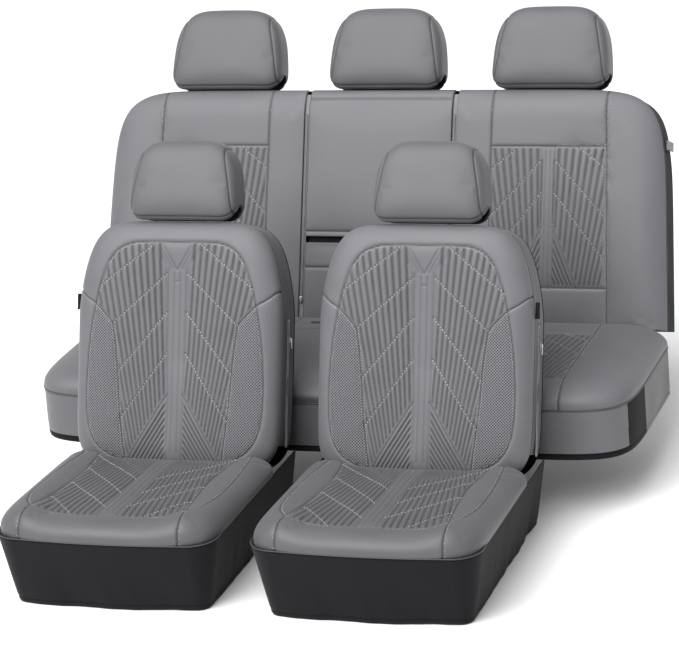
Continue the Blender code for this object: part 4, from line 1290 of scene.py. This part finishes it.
# ---------------------------------------------------------------- front seats
walls = {label: wall_piece(label, *ends) for label, ends in {
    "right_wall": (-38.0, WALL_SPLIT - SPLIT_GAP), "left_wall": (180.0 - WALL_SPLIT + SPLIT_GAP, 218.0),
    "top_band": (WALL_SPLIT, 180.0 - WALL_SPLIT)}.items()}
back_rear_mesh = back_rear_panel()
skirts = {"front": skirt("front skirt", skirt_front_grid(), 2),
          "right": skirt("right skirt", skirt_side_grid(1), 7),
          "left": skirt("left skirt", skirt_side_grid(-1), 9)}
front_headrest_mesh = make_headrest("front headrest", FRONT_HEADREST, on_front_back, BACK_HEIGHT + HEADREST_GAP)
back_thread_mesh, cushion_thread_mesh = front_threads()

wall_face = BACK_HALF_WIDTH + GAP
tape = tape_grid(SIDE_ZIP[0] - 0.006, SIDE_ZIP[1] + 0.006, TAPE_HALF, -wall_face - 0.0004)
zip_tape_mesh = panel_mesh("side zip tape", on_side_wall(tape), tape[..., [0, 2]], 0.0004, stride=1)
zip_teeth_mesh = joined("side zip teeth", [(on_side_wall(v + (0, -wall_face - 0.0016, 0)), f)
                                           for v, f in zip_teeth(*SIDE_ZIP)])
slider_off = wall_face + 0.0012 + 0.0012 + GAP + SLIDER[1] / 2
slider_mesh = joined("side slider", [(on_side_wall(v + (0, -slider_off, SIDE_SLIDER_UP)), f)
                                     for v, f in slider_parts()])
tab, tab_faces = pull_parts(*TAB)
tab = tab + (0.0, -(slider_off + SLIDER[1] / 2 + TAB_SWING_GAP), SIDE_SLIDER_UP + 0.004 + 0.001 - TAB[0] / 2)
tab_mesh = joined("side tab", [(on_side_wall(tab), tab_faces)])

flap_cloth_mesh, flap_length = tuck_flap()
strap_half = CUSHION_WIDTH / 2 - SKIRT_TAPER - CLOTH - 2 * GAP
strap_ends = [np.array((way * strap_half, 0.240, 0.0127)) - DATUM for way in (-1, 1)]
under_strap_mesh = flat_strap("under strap", *strap_ends, 0.025, 0.0014, 0.0, 0.0004, 6, side=(0.0, 1.0, 0.0))

# A tape from the skirt's top edge to the cushion's rim
skirt_top = skirt_front_grid()[-1]
cushion_rim = stacked(skirt_top[:, 0], skirt_top[:, 1], SEAM_HEIGHT + 0.001) - DATUM
rim = stacked(*cushion_point(*squircle(*rim_direction(np.linspace(-178.0, -2.0, 900)), CUSHION_SQUARENESS)))
nearest = np.linalg.norm(rim[:, None, :] - (cushion_rim[None, :, :2] + DATUM[:2]), axis=-1).argmin(axis=0)
inner = stacked(rim[nearest, 0], rim[nearest, 1], SEAM_HEIGHT + 0.0006) - DATUM
share = np.linspace(0.0, 1.0, 4)[:, None, None]
seam_grid = cushion_rim[None] * (1 - share) + inner[None] * share
seam_grid[..., 2] = SEAM_HEIGHT + 0.0006 - DATUM[2]
seam_tape_mesh = panel_mesh("cushion seam tape", seam_grid, stacked(lengths(seam_grid), share[..., 0] * 0.01),
                            0.0004, stride=1)
edge_cord_mesh = joined("cushion edge cord", [tube(cushion_rim[::2], 0.0013, 6)])
across, up = back_rim(np.linspace(-38.0, 218.0, 360))
back_edge = on_front_back(stacked(across, BACK_ROLL + 0.0002, up))
back_cord_mesh = joined("back edge cord", [tube(back_edge, 0.0012, 6)])

grey, charcoal, black, light = "grey_leatherette", "charcoal_fabric", "black_fabric", "light_leatherette"
for side, centre in SEAT_CENTRES.items():
    seat, sign = f"front_{side}", 1 if side == "right" else -1

    def place(label, mesh, material, nodes, slot, body="root"):
        piece = add_piece(f"{seat}_{label}", mesh, material, body, [f"{seat}_{n}" for n in nodes])
        piece.location.x += centre
        return piece

    place("back_panel", front_back.mesh, NETTED, ["back_front_panel"], grey)
    place("cushion_panel", front_cushion.mesh, SHADED_SEAT_NETTED, ["cushion_top_panel"], grey)
    place("headrest", front_headrest_mesh, SHADED_HOOD_LEATHER, ["headrest_cover"], grey, f"{seat}_headrest")
    for label, (mesh, length) in walls.items():
        piece = place(f"back_{label}_cloth", mesh, SHADED_SIDE_LEATHER, [f"back_{label}"], grey)
    piece = place("back_rear_cloth", back_rear_mesh, CHARCOAL, ["back_rear_panel"], charcoal)
    for label, mesh in skirts.items():
        piece = place(f"skirt_{label}_cloth", mesh, CHARCOAL, [f"skirt_{label}"], charcoal)
        extra = [place("cushion_seam_tape", seam_tape_mesh, CHARCOAL, [], charcoal)] if label == "front" else []
    place("back_stitches", back_thread_mesh, THREAD, [], grey)
    place("cushion_stitches", cushion_thread_mesh, THREAD, [], grey)
    place("cushion_edge_cord", edge_cord_mesh, PIPING, [], black)
    place("back_edge_cord", back_cord_mesh, PIPING, [], black)
    piece = place("side_zip_tape", zip_tape_mesh, ZIP_TAPE, ["side_zip_chain"], "zip_grey")
    place("side_zip_teeth", zip_teeth_mesh, NYLON, [], "zip_grey")
    place("side_zip_slider_body", slider_mesh, METAL, ["side_zip_slider"], "zip_metal", f"{seat}_zip_slider")
    place("side_zip_tab", tab_mesh, METAL, ["side_zip_pull"], "zip_metal", f"{seat}_zip_pull")
    piece = place("side_label", side_tag(sign), BLACK, ["side_tag"], black)
    piece = place("tuck_flap_cloth", flap_cloth_mesh, BLACK, ["tuck_flap"], black)
    piece = place("under_strap_web", under_strap_mesh, BLACK, ["under_strap"], black)
    for node in ("tuck_rod", "strap_buckle"):
        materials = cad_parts[f"{seat}_{node}"].data.materials
        materials.clear()
        materials.append(PLASTIC)

# ---------------------------------------------------------------- rear row
rear_headrest_mesh = make_headrest("rear headrest", REAR_HEADREST, on_rear_back, REAR_HEIGHT + HEADREST_GAP)
for label, centre in (("left", -REAR_HEADREST_SPACING), ("centre", 0.0), ("right", REAR_HEADREST_SPACING)):
    piece = add_piece(f"rear_{label}_headrest_hood", rear_headrest_mesh, SHADED_HOOD_LEATHER, f"rear_{label}_headrest",
                      [f"rear_{label}_headrest_cover"])
    piece.location.x += centre

for name, mesh, body, node in (
        ("rear_right_section", rear_section.mesh, "root", "rear_back_right_panel"),
        ("rear_left_section", rear_section.mirror("rear section left"), "root", "rear_back_left_panel"),
        ("rear_centre_section", band.mesh, "root", "rear_back_centre_band"),
        ("rear_flap_section", flap.mesh, "armrest_flap", "rear_armrest_flap"),
        ("bench_right_section", bench_section.mesh, "root", "bench_right_panel"),
        ("bench_left_section", bench_section.mirror("bench section left"), "root", "bench_left_panel"),
        ("bench_centre_section", bench_middle.mesh, "root", "bench_centre_panel")):
    add_piece(name, mesh, LEATHER, body, [node])

for label, first, last, columns, sign, below in (
        ("right_wall", 0.0, REAR_SPLIT - SPLIT_GAP, 130, 1, "rear_right_section"),
        ("left_wall", 0.0, REAR_SPLIT - SPLIT_GAP, 130, -1, "rear_left_section"),
        ("top_band", REAR_SPLIT, 180.0 - REAR_SPLIT, 420, 1, "rear_right_section")):
    mesh, length = rear_strip(f"rear_{label}_cloth", first, last, columns, sign)
    piece = add_piece(f"rear_{label}_cloth", mesh, BLACK, "root", [f"rear_back_{label}"])
piece = add_piece("rear_back_cloth", rear_back_cloth(), BLACK, "root", ["rear_back_rear_panel"])

for side, first, last, columns, sign, material in (
        ("front", BENCH_SPLIT, 180.0 - BENCH_SPLIT, 520, 0, LEATHER),
        ("right", 0.0, BENCH_SPLIT - SPLIT_GAP, 120, 1, SHADED_SIDE_LEATHER),
        ("left", 0.0, BENCH_SPLIT - SPLIT_GAP, 120, -1, SHADED_SIDE_LEATHER)):
    mesh, length = boxing(f"bench_{side}_strip", first, last, columns, sign)
    piece = add_piece(f"bench_{side}_strip", mesh, material, "root", [f"bench_{side}_boxing"])

# Black gussets at the corners of the bench's front strip, and its black hem
GUSSET_START, HEM_WIDTH = 0.7745, 0.017
strip_mesh = bpy.data.objects["bench_front_strip"].data
strip_mesh.materials.append(BLACK)
for face in strip_mesh.polygons:
    if abs(face.center.x) > GUSSET_START or face.center.z < BENCH_BOTTOM + HEM_WIDTH - DATUM[2]:
        face.material_index = 1

# A bound slit for the belt's buckle, near the back of the bench's centre
SLIT = (-0.130, 0.440)
centre_surface = bench_middle.surface(2)
turn = np.linspace(0.0, 2 * math.pi, 64, endpoint=False)
outline = stacked(SLIT[0] + 0.026 * np.sign(np.cos(turn)) * np.abs(np.cos(turn)) ** 0.4,
                  SLIT[1] + 0.0054 * np.sin(turn))
ring = np.array([p + 0.0008 * n for p, n in (centre_surface.at(*xy) for xy in outline)])
# The black patch inside the piped ring is painted shade standing for the slit's opening; the panel under it has no
# hole.
a, b = np.meshgrid(np.linspace(-0.1555, -0.1045, 30), np.linspace(0.4348, 0.4452, 7))
patch = np.array([p + 0.0004 * n for p, n in (centre_surface.at(*xy) for xy in zip(a.ravel(), b.ravel()))])
slit_edge = joined("slit edge", [tube(ring, 0.0014, closed=True)])
add_piece("bench_slit_edge", slit_edge, PIPING, "root", [])
slit_shade_patch = panel_mesh("slit opening shade", patch.reshape(*a.shape, 3), stacked(a, b), 0.0003,
                        {"dark": np.ones(a.shape)}, stride=1)
piece = add_piece("bench_slit_painted_shade", slit_shade_patch, BLACK, "root", [])

# Piping along the top edge of the backrest sections and of the bench
PIPE = 0.0020
quarter, middle = np.linspace(0.0, 90.0, 260), np.linspace(-CENTRE_HALF_WIDTH, CENTRE_HALF_WIDTH, 60)
across, up = rear_rim(quarter)
pipes = [tube(on_rear_back(stacked(across, REAR_ROLL, up)), PIPE),
         tube(bench_place(*bench_rim(quarter), BENCH_SEAM), PIPE)]
pipes += mirrored_parts(pipes) + [tube(bench_place(middle, 0.0, BENCH_SEAM), PIPE)]
add_piece("rear_piping", joined("rear piping", pipes), PIPING, "root", [])
flap_edge = tube(on_rear_back(stacked(middle, REAR_ROLL, REAR_HEIGHT)), PIPE)
add_piece("flap_piping", joined("flap piping", [flap_edge]), PIPING, "armrest_flap", [])

threads = rear_threads()
add_piece("rear_stitches", joined("rear stitches", threads + mirrored_parts(threads)), THREAD, "root", [])

# The cloth hinge below the armrest flap
HINGE_DEPTH = 0.0086
s, v = np.meshgrid(np.linspace(-0.190, 0.190, 96), np.linspace(0.172, 0.210, 20))
hinge_mesh = panel_mesh("flap hinge", on_rear_back(stacked(s, HINGE_DEPTH, v)), stacked(s, v), 0.0012, stride=1)
piece = add_piece("flap_hinge_cloth", hinge_mesh, BLACK, None, [])
start, end = (tuple(map(float, on_rear_back(np.array((0.0, HINGE_DEPTH, height)))))
              for height in (0.188, 0.200))
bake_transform(piece)

# Zips between the centre and the side sections, and the straps under the bench
for side, sign in (("left", -1), ("right", 1)):
    middle = sign * (CENTRE_HALF_WIDTH + ZIP_CHANNEL / 2)
    tape = tape_grid(REAR_BOTTOM + 0.004, REAR_HEIGHT - 0.012, 0.0064, 0.0062)
    share = (tape[..., 2] - REAR_BOTTOM) / (REAR_HEIGHT - REAR_BOTTOM)
    tape[..., 1] += (REAR_ROLL - LIP) * roll(share, REAR_FLAT)
    mesh = panel_mesh("rear zip tape", on_rear_back(tape + (middle, 0.0, 0.0)), tape[..., [0, 2]], 0.0004,
                      stride=1)
    piece = add_piece(f"rear_{side}_zip_tape", mesh, ZIP_TAPE, "root", [f"rear_{side}_zip_chain"])
    teeth = [(on_rear_back(t + (middle, 0.0044, 0.0)), f) for t, f in zip_teeth(*REAR_ZIP)]
    add_piece(f"rear_{side}_zip_teeth", joined("rear zip teeth", teeth), NYLON, "root", [])
    body = [(on_rear_back(t + (middle, 0.0004, REAR_ZIP[0] + 0.012)), f) for t, f in slider_parts()]
    add_piece(f"rear_{side}_slider_body", joined("rear slider", body), METAL, f"rear_{side}_slider",
              [f"rear_{side}_zip_slider"])

for side, sign in (("left", -1), ("right", 1)):
    length = BENCH_DEPTH - WALL - 0.030
    start = np.array((sign * 0.420, BENCH_FRONT + WALL + GAP + 0.001, BENCH_BOTTOM + 0.0047)) - DATUM
    mesh = flat_strap("bench strap", start, start + (0.0, length, 0.0), 0.025, 0.0014, 0.0, 0.0006, 5)
    piece = add_piece(f"bench_{side}_strap_web", mesh, BLACK, "root", [f"bench_{side}_strap"])

# The elastic on the right-hand wall of the rear backrest
ELASTIC_UP = 0.45
off = rear_half_width(ELASTIC_UP) + GAP + 0.0030
ends = [on_rear_back(np.array((off, REAR_ROLL + d, ELASTIC_UP))) for d in (0.005, 0.085)]
up_axis = on_rear_back(np.array((0.0, 0.0, 1.0))) - on_rear_back(np.zeros(3))
mesh = flat_strap("side elastic", *ends, 0.024, 0.0013, -0.0006, 0.0, 5, side=up_axis, up=(1, 0, 0))
piece = add_piece("rear_side_elastic", mesh, ELASTIC, "root", ["rear_back_side_strap"])


# ---------------------------------------------------------------- room, light and camera
floor_mesh = new_mesh("floor", [(-40, -40, 0), (40, -40, 0), (40, 40, 0), (-40, 40, 0)], [(0, 1, 2, 3)])
floor = linked("floor", floor_mesh)
floor.location.z = -DATUM[2] - 0.0015
pale = Nodes("pale floor")
pale.shader.inputs["Base Color"].default_value = (0.86, 0.86, 0.86, 1.0)
pale.shader.inputs["Roughness"].default_value = 0.9
floor_mesh.materials.append(pale.material)

world = bpy.data.worlds.new("studio")
world.use_nodes = True
world.node_tree.nodes["Background"].inputs["Color"].default_value = (1.0, 1.0, 1.0, 1.0)
world.node_tree.nodes["Background"].inputs["Strength"].default_value = 0.60
bpy.context.scene.world = world
bpy.context.scene.view_settings.view_transform = "Standard"


def add_light(name, place, aim, size, power):
    data = bpy.data.lights.new(name, "AREA")
    data.shape, data.size, data.size_y, data.energy = "RECTANGLE", size[0], size[1], power
    lamp = linked(name, data)
    lamp.location = place
    lamp.rotation_euler = (Vector(aim) - Vector(place)).to_track_quat("-Z", "Y").to_euler()


add_light("key", (-1.5, -3.4, 3.2), (0.0, 0.0, 0.2), (2.4, 1.8), 70)
add_light("top", (0.2, -0.3, 3.6), (0.0, 0.0, 0.0), (3.2, 2.2), 40)
sun = linked("sun", bpy.data.lights.new("sun", "SUN"))
sun.data.energy, sun.data.angle = 3.4, math.radians(55.0)
sun.rotation_euler = Vector((0.24, 0.60, -0.76)).to_track_quat("-Z", "Y").to_euler()

AZIMUTH, ELEVATION, ROLL_ANGLE = math.radians(19.38), math.radians(18.23), math.radians(-5.01)
DISTANCE, TARGET, LENS = 7.109, Vector((0.174, -0.512, 0.2595)), 3002.5 / 679 * 36
backward = Vector((math.sin(AZIMUTH) * math.cos(ELEVATION), -math.cos(AZIMUTH) * math.cos(ELEVATION),
                   math.sin(ELEVATION)))
right = Vector((math.cos(AZIMUTH), math.sin(AZIMUTH), 0.0))
upward = backward.cross(right)
right, upward = (right * math.cos(ROLL_ANGLE) + upward * math.sin(ROLL_ANGLE),
                 upward * math.cos(ROLL_ANGLE) - right * math.sin(ROLL_ANGLE))
camera = linked("camera", bpy.data.cameras.new("camera"))
camera.matrix_world = Matrix.Translation(TARGET + backward * DISTANCE) @ Matrix(
    (right, upward, backward)).transposed().to_4x4()
camera.data.sensor_width, camera.data.lens = 36.0, LENS
bpy.context.scene.camera = camera
